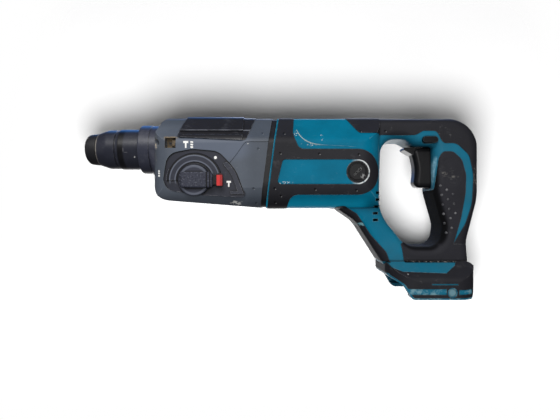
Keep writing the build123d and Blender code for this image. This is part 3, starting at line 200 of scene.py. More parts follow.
class Graph:
    """The nodes of a finish, a lamp or a world; a finish's x, y and z are in millimetres."""

    def __init__(self, name, owner=None):
        self.owner = owner or bpy.data.materials.new(name)
        self.owner.use_nodes = True
        self.tree = self.owner.node_tree
        self.tree.nodes.clear()
        self.place = self.node("ShaderNodeTexCoord", output="Generated" if owner else "Object")
        axes = [self.axis(self.place, letter) for letter in "XYZ"]
        self.x, self.y, self.z = axes if owner else [axis * (1 / MM) for axis in axes]

    def node(self, kind, settings=None, inputs=None, output=0):
        """A new node of any kind, with its settings and the values or links of its sockets."""
        made = self.tree.nodes.new(kind)
        for key, value in (settings or {}).items():
            setattr(made, key, value)
        for key, value in (inputs or {}).items():
            if isinstance(value, Value):
                self.tree.links.new(value.socket, made.inputs[key])
            else:
                made.inputs[key].default_value = value
        return Value(self, made.outputs[output]) if made.outputs else None

    def axis(self, vector, letter):
        """One part of a vector."""
        return self.node("ShaderNodeSeparateXYZ", inputs={0: vector}, output=letter)

    def dot(self, first, second):
        """How far two directions agree, from -1 to 1."""
        settings = {"operation": "DOT_PRODUCT"}
        return self.node("ShaderNodeVectorMath", settings, {0: first, 1: second}, output="Value")

    def path(self, ray):
        """1 for rays of one kind and 0 for the others."""
        return self.node("ShaderNodeLightPath", output=ray)

    def noise(self, scale, detail=2.0, where=None, rough=0.5):
        """Cloudy values round 0.5."""
        where = where or self.place
        inputs = {"Vector": where, "Scale": scale, "Detail": detail, "Roughness": rough}
        return self.node("ShaderNodeTexNoise", inputs=inputs, output="Fac")

    def stretched(self, scale, turn=(0.0, 0.0, 0.0)):
        """The object's place drawn out along one way and turned, for lines."""
        inputs = {"Vector": self.place, "Scale": scale, "Rotation": turn}
        return self.node("ShaderNodeMapping", inputs=inputs)

    def specks(self, scale, share, size):
        """Small spots, one in some of the cells of a loose grid."""
        inputs = {"Vector": self.place, "Scale": scale}
        far = self.node("ShaderNodeTexVoronoi", inputs=inputs, output="Distance")
        tint = self.node("ShaderNodeTexVoronoi", inputs=inputs, output="Color")
        pick = self.axis(tint, "X")
        extent = size * (0.35 + self.axis(tint, "Y"))
        ragged = far + 0.16 * (self.noise(scale * 5, 2) - 0.5)
        return (ragged / extent).rise(1.0, 0.7) * pick.rise(1 - share, 1.001 - share)

    def scratches(self, scale, turn, width, cover):
        """Hairlines that run one way, in patches."""
        line = self.noise(1.0, 1.5, self.stretched(scale, turn)).band(0.5, width, width * 0.25)
        patch = self.noise(70, 2).rise(1 - cover, 1.06 - cover)
        return line * patch * self.noise(420, 2).rise(0.42, 0.62)

    def around(self, x, z):
        """How far a point of the side view lies from a place: along X, along Z and in all."""
        across, along = self.x - x, self.z - z
        return across, along, (across * across + along * along) ** 0.5

    def pits(self, points, radius):
        """Round pits at given places of the side view, on both sides."""
        deepest = 0.0
        for x, z in points:
            _, _, far = self.around(x, z)
            deepest = far.rise(radius, radius * 0.55) | deepest
        return deepest

    def spot(self, x, z, wide, high):
        """An oval patch of the side view, 1 in its middle and 0 at its edge."""
        across, along = (self.x - x) / wide, (self.z - z) / high
        return (across * across + along * along).rise(1.0, 0.25)

    def crevice(self, reach):
        """How deep a point lies in a corner or a gap, from 0 in the open to 1."""
        inputs = {"Distance": reach * MM}
        return 1 - self.node("ShaderNodeAmbientOcclusion", {"samples": 8}, inputs, output="AO")

    def softened(self, width):
        """The surface's normal with its edges rounded."""
        return self.node("ShaderNodeBevel", {"samples": 4}, {"Radius": width * MM})

    def normal(self):
        """The surface's own normal."""
        return self.node("ShaderNodeNewGeometry", output="Normal")

    def rim(self, width):
        """1 along sharp edges and 0 on open faces."""
        return self.dot(self.softened(width), self.normal()).rise(0.993, 0.90)

    def facing(self, letter):
        """One part of the surface's normal."""
        return self.axis(self.normal(), letter)

    def mix(self, amount, first, second):
        """A second colour laid over a first by an amount."""
        first, second = (c if isinstance(c, Value) else (*c, 1.0) for c in (first, second))
        settings = {"data_type": "RGBA", "clamp_factor": True}
        return self.node("ShaderNodeMix", settings, {0: amount, 6: first, 7: second}, output=2)

    def blend(self, amount, first, second):
        """A second shader laid over a first by an amount."""
        return self.node("ShaderNodeMixShader", inputs={0: amount, 1: first, 2: second})

    def close(self, colour, roughness, height, edge, metallic=0.0, constants=None):
        """Joins colour, roughness and height (in millimetres) up, and returns the material."""
        inputs = {"Height": height, "Distance": MM, "Strength": 1.0}
        normal = self.node("ShaderNodeBump", inputs={**inputs, "Normal": self.softened(edge)})
        sockets = {"Base Color": colour, "Roughness": roughness, "Normal": normal}
        sockets = {**sockets, "Metallic": metallic, **(constants or {})}
        shader = self.node("ShaderNodeBsdfPrincipled", inputs=sockets)
        self.node("ShaderNodeOutputMaterial", inputs={"Surface": shader})
        return self.owner


def shade(colour, factor):
    """A colour made darker or lighter."""
    return tuple(min(1.0, channel * factor) for channel in colour)


def moulded(
    name, colour, roughness, grain, depth, wear, pale, pits=None, more=None, edge=0.35, gloss=0.3,
    worn=0.4, corner_shade=0.6,
):
    """Moulded plastic or rubber: mottled, grained, scuffed, with worn edges and painted corner
    shade.

    Grain is the scale of the fine grain and depth its height. Wear is the share of scuffs and
    specks, in the pale colour. Worn is how strong the worn edges are, the last argument how
    dark the painted shade in corners and gaps is, and more adds the marks of one finish.
    """
    g = Graph(name)
    mottle = g.noise(42, 4, rough=0.6)
    fine = g.noise(grain, 3)
    smear = g.noise(16, 3)
    tone = g.mix(mottle.rise(0.3, 0.72), shade(colour, 0.88), shade(colour, 1.11))
    tone = g.mix(fine.rise(0.35, 0.75) * 0.3, tone, shade(colour, 1.25))
    scuff = (g.noise(120, 5, rough=0.65) * g.noise(24, 2)).rise(0.36, 0.5)
    tone = g.mix(scuff * 0.10 * wear, tone, pale)
    lines = g.scratches((60, 900, 760), (0.3, 0.5, 0.75), 0.012, 0.44)
    lines = lines | g.scratches((820, 700, 55), (0.1, -0.35, 0.2), 0.010, 0.40)
    spots = g.specks(150, 0.045 * wear, 0.085) | g.specks(60, 0.025 * wear, 0.04)
    marks = lines * 0.22 * wear | spots * 0.8
    tone = g.mix(marks, tone, pale)
    deep = g.crevice(2.2)
    bare = g.rim(0.6) * deep.rise(0.25, 0.08) * g.noise(260, 3).rise(0.36, 0.60)
    tone = g.mix(bare * worn, tone, pale)
    # Painted shade: the colour darkened where corners and gaps enclose the surface
    tone = g.mix(deep.rise(0.06, 0.34) * corner_shade, tone, shade(colour, 0.10))
    height = depth * fine - 0.035 * marks
    rough = roughness + 0.14 * (smear - 0.5) + 0.10 * scuff * wear + 0.06 * (fine - 0.5)
    if pits:
        # Each pit gets a painted highlight beside it and painted shade inside it
        glint = g.pits([(x + 0.75, z - 0.75) for x, z in pits], 0.62)
        tone = g.mix(glint * 0.5, tone, pale)
        pit = g.pits(pits, 1.0)
        tone = g.mix(pit * 0.9, tone, shade(colour, 0.08))
        height = height - 0.55 * pit
    if more:
        tone, rough, height = more(g, tone, rough, height)
    return g.close(tone, rough, height, edge, constants={"Specular IOR Level": gloss})


def metal(name, colour, roughness, grain=(40, 1600, 1600), stain=None, edge=0.15):
    """Machined or pressed metal: lines along the lathe's cut, blotches and a film of grease."""
    g = Graph(name)
    lay = g.noise(1.0, 3, g.stretched(grain))
    blotch = g.noise(55, 4, rough=0.6)
    film = g.noise(140, 3)
    tone = g.mix(lay.rise(0.3, 0.7), shade(colour, 0.86), shade(colour, 1.10))
    tone = g.mix(blotch.rise(0.5, 0.72) * 0.4, tone, stain or shade(colour, 0.6))
    rough = roughness + 0.16 * (blotch - 0.5) + 0.10 * (lay - 0.5) + 0.06 * film
    return g.close(tone, rough, 0.006 * lay + 0.004 * film, edge, metallic=1.0)


def shell_wear(g, tone, rough, height):
    """The coloured shell: chips, a white ring beside the brush cap, a painted highlight streak,
    painted light on faces that look down, a scuffed foot.
    """
    across, _, far = g.around(*BRUSH_CAP)
    ring = far.span(8.9, 9.4, 10.4, 11.2) * across.rise(-6, 5)
    bright = ring * g.noise(300, 3).rise(0.25, 0.5) * abs(g.y).rise(33, 36)
    tone = g.mix(bright * 0.92, tone, CHIP_WHITE)
    flaked = g.noise(420, 3).rise(0.42, 0.55)
    chips = g.noise(900, 3).rise(0.50, 0.58)
    chipped = g.spot(177.0, -32.2, 7.5, 1.3) * flaked * chips
    chipped = chipped | g.spot(207.6, 5.6, 1.6, 3.2) * g.noise(700, 2).rise(0.58, 0.64)
    corner = g.spot(196.0, -0.8, 9.0, 1.6) | g.spot(186.6, 9.0, 2.0, 4.5)
    chipped = chipped | corner * chips * g.noise(240, 2).rise(0.5, 0.6)
    tone = g.mix(chipped * 0.85, tone, CHIP_WHITE)
    # A painted highlight down the strip behind the trigger, patchy
    streak = (g.x - 0.1 * g.z).band(309.4, 1.5, 0.5) * g.z.span(-37, -33, -11, -7)
    streak = streak * abs(g.y).rise(8, 11) * (0.5 + 0.5 * g.noise(260, 4).rise(0.42, 0.60))
    tone = g.mix(streak, tone, STREAK_HIGHLIGHT)
    handled = 0.45 + 0.55 * g.noise(34, 4, rough=0.6).rise(0.34, 0.66)
    tone = g.mix(g.x.rise(246, 268) * handled * 0.28, tone, HANDLED_TEAL)
    # Painted light on the lower faces that look down
    below = g.z.span(-66, -60, -52, -43) * g.x.rise(252, 240) * g.facing("Z").rise(-0.15, -0.45)
    tone = g.mix(below, tone, LIT_TEAL)
    foot = g.z.rise(-116.5, -117.5) * g.noise(170, 5, rough=0.7).rise(0.46, 0.64)
    foot = foot * (0.15 + 0.85 * abs(g.facing("Y")).rise(0.5, 0.8))
    seam = g.z.band(FOOT_SEAM, 0.8, 0.3) * g.x.rise(281, 285)
    return g.mix(foot * 0.45 | seam * flaked * 0.5, tone, FOOT_SCUFF), rough, height


def black_wear(g, tone, rough, height):
    """The soft skins: scuffs at the handle's back and on the brace."""
    rear = g.x.rise(338.5, 341.5) * g.z.span(-35, -30, -19, -15)
    rear = rear * abs(g.y).rise(11, 15) * abs(g.facing("Y")).rise(0.12, 0.35)
    tone = g.mix(rear * g.noise(900, 4).rise(0.55, 0.62) * 0.5, tone, REAR_SCUFF)
    rubbed = g.spot(243.6, -66.9, 4.2, 1.8) * g.noise(420, 3).rise(0.46, 0.58)
    return g.mix(rubbed * 0.9, tone, BRACE_SCUFF), rough, height


def grip_wear(g, tone, rough, height):
    """The grip panels: hide-like grain round a smooth thumb pad, smears, and painted shade on the
    inner side and the opening's floor.
    """
    pad = g.spot(321.0, -22.0, 11.0, 14.0)
    rubbed = g.spot(315.0, -23.6, 3.4, 2.6) | g.spot(322.0, -26.0, 6.5, 1.3)
    smear = rubbed * g.noise(330, 5, rough=0.75).rise(0.44, 0.66)
    tone = g.mix(smear * 0.45, tone, GRIP_SMEAR)
    hide = g.noise(620, 4, rough=0.6)
    skin = 1 - pad.rise(0.05, 0.30)
    # Painted shade on the grip's inner wall and the floor of the opening, which are also rougher
    inner_shade = g.facing("X").rise(-0.35, -0.75) | g.facing("Z").rise(0.45, 0.8) * g.z.rise(-60, -64)
    inner_shade = inner_shade * g.x.rise(331, 325)
    tone = g.mix(inner_shade * 0.9, tone, GRIP_INNER_SHADE)
    seam = g.z.band(FOOT_SEAM, 0.6, 0.2) * g.noise(500, 3).rise(0.52, 0.62)
    tone = g.mix(seam * 0.5, tone, SEAM_DUST)
    return tone, rough + 0.10 * skin + 0.4 * inner_shade, height + 0.16 * skin * hide


def casing_wear(g, tone, rough, height):
    """The gear housing: painted light on its flank and painted shade at its top, back and bottom;
    chips at its front and below, dirt in the screw's notch.
    """
    # Painted light on the flank
    tone = g.mix(g.spot(120.0, -1.0, 42.0, 17.0) * 0.7, tone, CASING_LIT)
    # Painted shade on the top and at the back
    tone = g.mix((g.z.rise(14, 21) | g.x.rise(140, 152)) * 0.6, tone, CASING_TOP_BACK_SHADE)
    # Painted shade towards the bottom
    tone = g.mix(g.z.rise(-36, -46) * g.x.rise(142, 132) * 0.4, tone, CASING_LOW_SHADE)
    flaked = g.noise(380, 3).rise(0.50, 0.58) * g.noise(900, 2).rise(0.4, 0.6)
    front = g.x.rise(GEAR_FRONT + 4.2, GEAR_FRONT + 0.8) * g.z.span(-18, -12, 8, 12)
    front = front * g.facing("X").rise(-0.93, -0.6) * g.facing("Y").rise(0.1, -0.25) * flaked
    tone = g.mix(front, tone, BARE_ALLOY)
    low = g.spot(136.5, -48.6, 6.5, 2.4) * g.noise(300, 3).rise(0.50, 0.58)
    low = low | g.spot(147.3, -0.8, 2.6, 2.6) * flaked
    low = low | g.z.rise(-44, -53) * g.specks(260, 0.12, 0.2)
    tone = g.mix(low * 0.85, tone, CASING_CHIP)
    notch = g.x.span(76, 78, 87, 89) * g.z.band(1.0, 6, 4.6)
    dirt = notch * abs(g.y).span(20, 24, 35.6, 36.6)
    tone = g.mix(dirt * g.noise(300, 4).rise(0.3, 0.6), tone, CAKED_DIRT)
    return tone, rough + 0.2 * dirt, height - 0.05 * front


def saddle_highlight(g, tone, rough, height):
    """The saddle pad: a painted highlight along its lower edge, patchy and a little glossier."""
    edge = g.z.band(12.5, 0.75, 0.2) * abs(g.y).rise(18, 21)
    edge = edge * (0.45 + 0.55 * g.noise(220, 3).rise(0.40, 0.60))
    return g.mix(edge * 0.7, tone, SADDLE_EDGE_HIGHLIGHT), rough - 0.1 * edge, height


def sleeve_dust(g, tone, rough, height):
    """The chuck's sleeve: dust on its lip, turned rings, a painted shadow in its groove and a few
    scars.
    """
    lip = g.x.band(11.0, 1.0, 0.3) * g.noise(200, 3).rise(0.3, 0.55)
    rings = g.noise(1.0, 1, g.stretched((2400, 0, 0)))
    tone = g.mix(lip * 0.7, tone, LIP_DUST)
    # Painted shadow in the groove behind the front ring
    tone = g.mix(g.x.span(30.6, 31.4, 35.2, 37.0) * 0.9, tone, SLEEVE_GROOVE_SHADOW)
    scars = g.spot(36.4, -2.2, 0.5, 2.4) | g.spot(38.6, -4.4, 2.0, 0.4)
    tone = g.mix(scars * 0.7, tone, SLEEVE_SCAR)
    tone = g.mix(g.spot(46.0, -8.3, 0.8, 0.8) * 0.8, tone, SLEEVE_NICK)
    return tone, rough + 0.15 * lip, height + 0.012 * rings


def dish_bands(g, tone, rough, height):
    """The selector's plate: painted light on its raised faces, and round its upper half sunk cuts
    with painted shade and edges with painted highlights.
    """
    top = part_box("selector_plate")[0][1] / MM
    raised = g.y.rise(top + 0.55, top + 0.15)
    # Painted light on the raised faces
    tone = g.mix(raised * 0.15, tone, DISH_LAND_LIGHT)
    _, along, far = g.around(*SELECTOR)
    above = along.rise(-4, 0)
    cuts = (far.band(14.6, 1.0, 0.4) | far.band(21.8, 1.1, 0.5)) * above
    # Painted shade in the cuts
    tone = g.mix(cuts * 0.85, tone, DISH_CUT_SHADE)
    # Painted highlights on the edges beside the cuts
    lit = (far.band(20.5, 0.8, 0.2) | far.band(16.0, 0.8, 0.2)) * above
    return g.mix(lit * 0.5, tone, DISH_EDGE_HIGHLIGHT), rough - 0.08 * raised, height - 0.3 * cuts


def lever_texture(g, tone, rough, height):
    """The selector's knob: a pebbled lever with painted light on the pebbles and painted shade
    between them and in two grooves, and a painted lit arc on the disc.
    """
    pebbles = g.noise(760, 3, rough=0.6)
    skin = g.y.rise(-37.6, -38.4) * g.z.band(SELECTOR[1], 6.8, 6.3)
    _, _, far = g.around(*SELECTOR)
    # A painted highlight on an arc of the disc
    tone = g.mix(far.band(11.4, 1.3, 0.5) * (1 - skin) * 0.45, tone, LEVER_ARC_LIGHT)
    # Painted light on the pebbles' tops and painted shade between them
    tone = g.mix(skin * pebbles.rise(0.55, 0.70) * 0.5, tone, PEBBLE_TOP_LIGHT)
    tone = g.mix(skin * pebbles.rise(0.45, 0.33) * 0.7, tone, PEBBLE_GAP_SHADE)
    # Painted shade in the two grooves, which are also sunk
    grooves = (g.x.band(113.4, 0.7, 0.3) | g.x.band(116.0, 0.6, 0.25)) * skin
    tone = g.mix(grooves * 0.9, tone, LEVER_GROOVE_SHADE)
    return tone, rough + 0.2 * skin, height + 0.30 * skin * pebbles - 0.4 * grooves


def button_stem(g, tone, rough, height):
    """The lock button: red only on its cap, with painted shade on the cap's back."""
    cap = g.x.rise(121.2, 121.7) * g.z.band(-30.4, 4.5, 4.1)
    tone = g.mix(1 - cap, tone, BUTTON_STEM)
    return g.mix(g.x.rise(123.6, 124.6) * 0.55, tone, BUTTON_SHADE), rough, height


def cap_wear(g, tone, rough, height):
    """The brush caps: painted shade in a sunk groove round the face, a patchy painted highlight
    along the slot and a rubbed edge.
    """
    across, along, far = g.around(*BRUSH_CAP)
    groove = far.band(7.2, 0.7, 0.25)
    # Painted shade in the groove
    tone = g.mix(groove * 0.85, tone, CAP_GROOVE_SHADE)
    worn = g.noise(500, 3)
    # A patchy painted highlight along the slot
    slot = (across - along).band(0.0, 1.5, 0.9) * far.rise(4.6, 3.8)
    tone = g.mix(slot * worn.rise(0.44, 0.58) * 0.45, tone, PALE_GREY)
    rubbed = g.spot(241.4, -26.4, 2.4, 2.8) * worn.rise(0.46, 0.60)
    return g.mix(rubbed * 0.7, tone, PALE_GREY), rough, height - 0.4 * groove


def dull_top(g, tone, rough, height):
    """Plain black plastic: dull on faces that look up."""
    return tone, rough + 0.5 * g.facing("Z").rise(0.2, 0.7), height


def screw_dirt(g, tone, rough, height):
    """The gear housing's screws: caked with dirt."""
    caked = g.noise(420, 4, rough=0.65)
    return g.mix(caked.rise(0.42, 0.60) * 0.8, tone, SCREW_DIRT), rough, height + 0.25 * caked


def dot_highlight(g, tone, rough, height):
    """The grip's dots: a painted highlight over each dot, stronger in patches."""
    worn = g.noise(230, 2).rise(0.38, 0.60)
    return g.mix(0.04 + 0.30 * worn, tone, DOT_HIGHLIGHT), rough, height


def ridge_crest(g, tone, rough, height):
    """The shell's ridges: rubbed pale towards the front."""
    worn = g.noise(180, 4).rise(0.40, 0.56) * g.x.rise(214, 196)
    return g.mix(worn * 0.75, tone, RIDGE_CREST), rough, height


def rubbed_print(g, tone, rough, height):
    """The mode marks: rubbed off in places."""
    gone = g.noise(520, 3).rise(0.60, 0.72)
    return g.mix(gone * 0.55, tone, PRINT_GONE), rough, height


class HammerColours(bpy.types.PropertyGroup):
    """Colours of the tool's surfaces."""

    teal: FloatVectorProperty(
        name="Shell", description="Coloured plastic of the housing",
        subtype="COLOR", size=3, min=0, max=1, default=srgb(0, 101, 130),
    )
    overmould: FloatVectorProperty(
        name="Overmould", description="Soft black skin on the housing",
        subtype="COLOR", size=3, min=0, max=1, default=srgb(31, 31, 36),
    )
    casing: FloatVectorProperty(
        name="Casing", description="Painted gear housing",
        subtype="COLOR", size=3, min=0, max=1, default=srgb(77, 84, 95),
    )
    chuck: FloatVectorProperty(
        name="Chuck", description="Plastic of the sleeve and the collar",
        subtype="COLOR", size=3, min=0, max=1, default=srgb(37, 39, 50),
    )
    button: FloatVectorProperty(
        name="Lock button", description="Red plastic of the lock button",
        subtype="COLOR", size=3, min=0, max=1, default=srgb(196, 44, 44),
    )
    print_white: FloatVectorProperty(
        name="Mode marks", description="Print of the mode marks",
        subtype="COLOR", size=3, min=0, max=1, default=srgb(240, 240, 236),
    )


class HammerSizes(bpy.types.PropertyGroup):
    """Sizes of the details that are added to the CAD pieces."""

    dot_radius: FloatProperty(
        name="Grip dot radius", description="Radius of a raised dot on the grip",
        unit="LENGTH", default=0.95 * MM,
    )
    dot_height: FloatProperty(
        name="Grip dot height", description="Height of a raised dot",
        unit="LENGTH", default=0.55 * MM,
    )
    ridge_radius: FloatProperty(
        name="Ridge radius", description="Radius of the moulded ridge on the shell",
        unit="LENGTH", default=0.55 * MM,
    )
    print_depth: FloatProperty(
        name="Print depth", description="Thickness of the mode marks",
        unit="LENGTH", default=0.12 * MM,
    )
    round_sides: IntProperty(
        name="Round sides", description="Sides of a raised dot and of the spring's wire",
        default=12, min=6, max=24,
    )
    spring_wire: FloatProperty(
        name="Spring wire", description="Radius of the wire of the chuck's spring",
        unit="LENGTH", default=0.7 * MM,
    )
    spring_turns: IntProperty(
        name="Spring turns", description="Turns of the chuck's spring", default=5, min=2, max=12
    )


class HammerStage(bpy.types.PropertyGroup):
    """Camera, lamps and backdrop."""

    eye: FloatVectorProperty(
        name="Camera place", description="Place of the camera",
        unit="LENGTH", size=3, subtype="TRANSLATION", default=(0.173, -0.398, -0.0546),
    )
    lens: FloatProperty(
        name="Lens", description="Focal length in millimetres on a 36 mm sensor", default=28.12
    )
    key: FloatProperty(
        name="Key lamp", description="Power of the large lamp above the camera",
        unit="POWER", default=6.0,
    )
    fill: FloatProperty(
        name="Front lamp", description="Power of the lamp beside the camera",
        unit="POWER", default=2.2,
    )
    back: FloatProperty(
        name="Back lamp", description="Power of the lamp behind the tool",
        unit="POWER", default=3.0,
    )
    shadow: FloatProperty(
        name="Shadow light", default=198.0,
        description="Strength of the light that casts the shadow on the backdrop",
    )
    halo: FloatProperty(
        name="Halo light", default=120.0,
        description="Strength of the wide light that softens that shadow",
    )
    low: FloatProperty(
        name="Low lamp", description="Power of the lamp below the camera",
        unit="POWER", default=1.0,
    )
    sky: FloatProperty(name="World", description="Strength of the world's light", default=0.42)


def deselect():
    """Leaves edit mode and clears the selection."""
    if bpy.context.mode != "OBJECT":
        bpy.ops.object.mode_set(mode="OBJECT")
    bpy.ops.object.select_all(action="DESELECT")


def hold(*pieces):
    """Selects these pieces alone, the first of them active."""
    deselect()
    for piece in pieces:
        piece.select_set(True)
    bpy.context.view_layer.objects.active = pieces[0]


def put(name, data, place=(0, 0, 0)):
    """A new object in the scene."""
    made = bpy.data.objects.new(name, data)
    made.location = place
    bpy.context.scene.collection.objects.link(made)
    return made


def join(pieces):
    """Several pieces made one."""
    hold(*pieces)
    if len(pieces) > 1:
        bpy.ops.object.join()
    return pieces[0]


def settle(piece, name, body, material, angle=40):
    """Names a finished piece, shades it, gives it its material and hangs it on its body."""
    piece.name = piece.data.name = name
    hold(piece)
    bpy.ops.object.transform_apply(location=True, rotation=True, scale=True)
    bpy.ops.object.mode_set(mode="EDIT")
    bpy.ops.mesh.select_all(action="SELECT")
    bpy.ops.mesh.remove_doubles(threshold=1e-7)
    bpy.ops.mesh.normals_make_consistent(inside=False)
    bpy.ops.object.mode_set(mode="OBJECT")
    bpy.ops.object.shade_smooth_by_angle(angle=math.radians(angle))
    piece.data.materials.clear()
    piece.data.materials.append(material)
    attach(piece, body)
    deselect()
    return piece


def touch(names, x, z, side, must=True):
    """The first point of some CAD nodes met from one side of the tool, with its normal."""
    start, way = Vector((x * MM, side * 0.2, z * MM)), Vector((0, -side, 0))
    best = None
    for name in names:
        found, point, normal, _ = NODES[name].ray_cast(start, way)
        if found and (best is None or (point - start).length < (best[0] - start).length):
            best = point.copy(), normal.copy()
    if best is None:
        if must:
            raise RuntimeError(f"nothing of {names} at {x}, {z}")
        return None
    point, normal = best
    return point, normal if normal.dot(way) < 0 else -normal


def seat(point, normal, sink=0.0):
    """A place on a surface: local Z outwards, local Y as near to straight up as it can be."""
    across = Vector((0, 0, 1)).cross(normal).normalized()
    up = normal.cross(across)
    turn = Matrix((across, up, normal)).transposed().to_4x4()
    return Matrix.Translation(point - normal * sink) @ turn


def copies(source, places):
    """Copies of a finished shape with meshes of their own, one at each place, made one piece."""
    made = []
    for place in places:
        mesh = source.data.copy()
        mesh.transform(place)
        made.append(put(source.name, mesh))
    piece = join(made)
    bpy.data.objects.remove(source)
    return piece


def solid(name, line):
    """A curve made a mesh."""
    hold(put(name, line))
    bpy.ops.object.convert(target="MESH")
    return bpy.context.view_layer.objects.active


def plate(corners, depth):
    """A thin flat plate from outlines in its own XY plane."""
    line = bpy.data.curves.new("outline", "CURVE")
    line.dimensions, line.fill_mode = "2D", "BOTH"
    for outline in corners:
        spline = line.splines.new("POLY")
        spline.points.add(len(outline) - 1)
        for point, (x, y) in zip(spline.points, outline):
            point.co = (x * MM, y * MM, 0.0, 1.0)
        spline.use_cyclic_u = True
    line.extrude = depth / 2
    return solid("plate", line)


FINISHES = {}
OWN_FINISH = {
    "selector_plate": "selector_dish", "selector_knob": "lever_skin",
    "saddle_pad": "saddle_rubber", "joint_ring": "joint_black", "gear_screws": "dirty_screws",
    "brush_caps": "cap_black", "foot_screws": "dull_zinc", "shell_screws": "dark_screws",
}


def make_finishes(colours):
    """A material for each of the record's slots, and for the pieces that have their own finish."""
    black, chuck = tuple(colours.overmould), tuple(colours.chuck)
    plastics = {
        "teal_shell": dict(
            colour=tuple(colours.teal), roughness=0.42, grain=1700, depth=0.014, wear=0.34,
            pale=PALE_TEAL, more=shell_wear, gloss=0.05, worn=0.5, corner_shade=0.7,
        ),
        "soft_black": dict(
            colour=black, roughness=0.56, grain=1500, depth=0.030, wear=0.9, pale=PALE_GREY,
            pits=BAND_PITS, more=black_wear, gloss=0.18, worn=0.3,
        ),
        "soft_grip": dict(
            colour=shade(black, 1.25), roughness=0.58, grain=1100, depth=0.040, wear=1.0,
            pale=PALE_GREY, more=grip_wear, gloss=0.18, worn=0.25,
        ),
        "saddle_rubber": dict(
            colour=shade(black, 0.8), roughness=0.36, grain=1500, depth=0.02, wear=1.0,
            pale=srgb(150, 154, 162), more=saddle_highlight, worn=0.7,
        ),
        "grey_casing": dict(
            colour=tuple(colours.casing), roughness=0.48, grain=1300, depth=0.022, wear=0.6,
            pale=srgb(176, 180, 184), pits=FLANGE_PITS, more=casing_wear, worn=0.35, corner_shade=0.8,
        ),
        "dark_casing": dict(
            colour=shade(chuck, 1.6), roughness=0.34, grain=1500, depth=0.012, wear=0.6,
            pale=CHIP_GREY, gloss=0.45,
        ),
        "dark_plastic": dict(
            colour=chuck, roughness=0.32, grain=1500, depth=0.012, wear=0.7, pale=CHIP_GREY,
            more=sleeve_dust, gloss=0.45,
        ),
        "selector_dish": dict(
            colour=chuck, roughness=0.44, grain=1400, depth=0.02, wear=0.6, pale=CHIP_GREY,
            more=dish_bands, edge=0.15, worn=0.8, corner_shade=1.0,
        ),
        "lever_skin": dict(
            colour=shade(chuck, 1.55), roughness=0.44, grain=1200, depth=0.03, wear=0.5,
            pale=CHIP_GREY, more=lever_texture, edge=0.3, worn=0.5, corner_shade=0.9,
        ),
        "joint_black": dict(
            colour=srgb(20, 20, 23), roughness=0.5, grain=1500, depth=0.02, wear=0.5,
            pale=PALE_GREY,
        ),
        "cap_black": dict(
            colour=srgb(15, 15, 17), roughness=0.42, grain=1500, depth=0.02, wear=0.7,
            pale=PALE_GREY, more=cap_wear, gloss=0.18, worn=0.8, corner_shade=0.9,
        ),
        "dull_zinc": dict(
            colour=srgb(96, 134, 146), roughness=0.5, grain=1500, depth=0.02, wear=0.8,
            pale=CHIP_WHITE, corner_shade=0.9,
        ),
        "black_plastic": dict(
            colour=srgb(19, 19, 21), roughness=0.34, grain=1400, depth=0.010, wear=0.4,
            pale=PALE_GREY, more=dull_top, gloss=0.16, worn=0.2,
        ),
        "red_plastic": dict(
            colour=tuple(colours.button), roughness=0.36, grain=1500, depth=0.008, wear=0.3,
            pale=srgb(232, 150, 146), more=button_stem,
        ),
        "black_rubber": dict(
            colour=srgb(26, 26, 30), roughness=0.46, grain=1300, depth=0.03, wear=0.5,
            pale=PALE_GREY, gloss=0.4,
        ),
        "dirty_screws": dict(
            colour=srgb(58, 52, 46), roughness=0.7, grain=900, depth=0.03, wear=0.6,
            pale=srgb(150, 140, 124), more=screw_dirt,
        ),
        "ferrite": dict(
            colour=srgb(62, 60, 60), roughness=0.62, grain=1200, depth=0.02, wear=0.4,
            pale=PALE_GREY,
        ),
        "carbon": dict(
            colour=srgb(48, 47, 48), roughness=0.5, grain=1600, depth=0.012, wear=0.4,
            pale=PALE_GREY,
        ),
    }
    even, drawn, stacked = (900, 900, 900), (60, 1500, 1500), (2600, 30, 30)
    metals = {
        "dark_screws": dict(colour=srgb(74, 76, 80), roughness=0.42),
        "steel": dict(colour=srgb(176, 178, 182), roughness=0.34),
        "bearing_steel": dict(colour=srgb(196, 198, 202), roughness=0.22),
        "cast_alloy": dict(colour=srgb(150, 153, 158), roughness=0.52, grain=even),
        "bronze": dict(
            colour=srgb(176, 136, 78), roughness=0.42, grain=even, stain=srgb(96, 70, 40)
        ),
        "copper": dict(
            colour=srgb(186, 108, 62), roughness=0.36, grain=drawn, stain=srgb(92, 52, 34)
        ),
        "laminated_steel": dict(colour=srgb(124, 126, 130), roughness=0.46, grain=stacked),
    }
    for name, settings in plastics.items():
        FINISHES[name] = moulded(name, **settings)
    for name, settings in metals.items():
        FINISHES[name] = metal(name, **settings)


class HAMMER_OT_finish_nodes(bpy.types.Operator):
    """Give every CAD piece the finish of its material slot"""

    bl_idname = "hammer.finish_nodes"
    bl_label = "Finish the CAD pieces"

    def execute(self, context):
        make_finishes(context.scene.hammer_colours)
        for part in frame["record"]["subparts"]:
            mesh = NODES[part["node"]].data
            mesh.materials.clear()
            mesh.materials.append(FINISHES[OWN_FINISH.get(part["node"], part["material_slot"])])
        return {"FINISHED"}


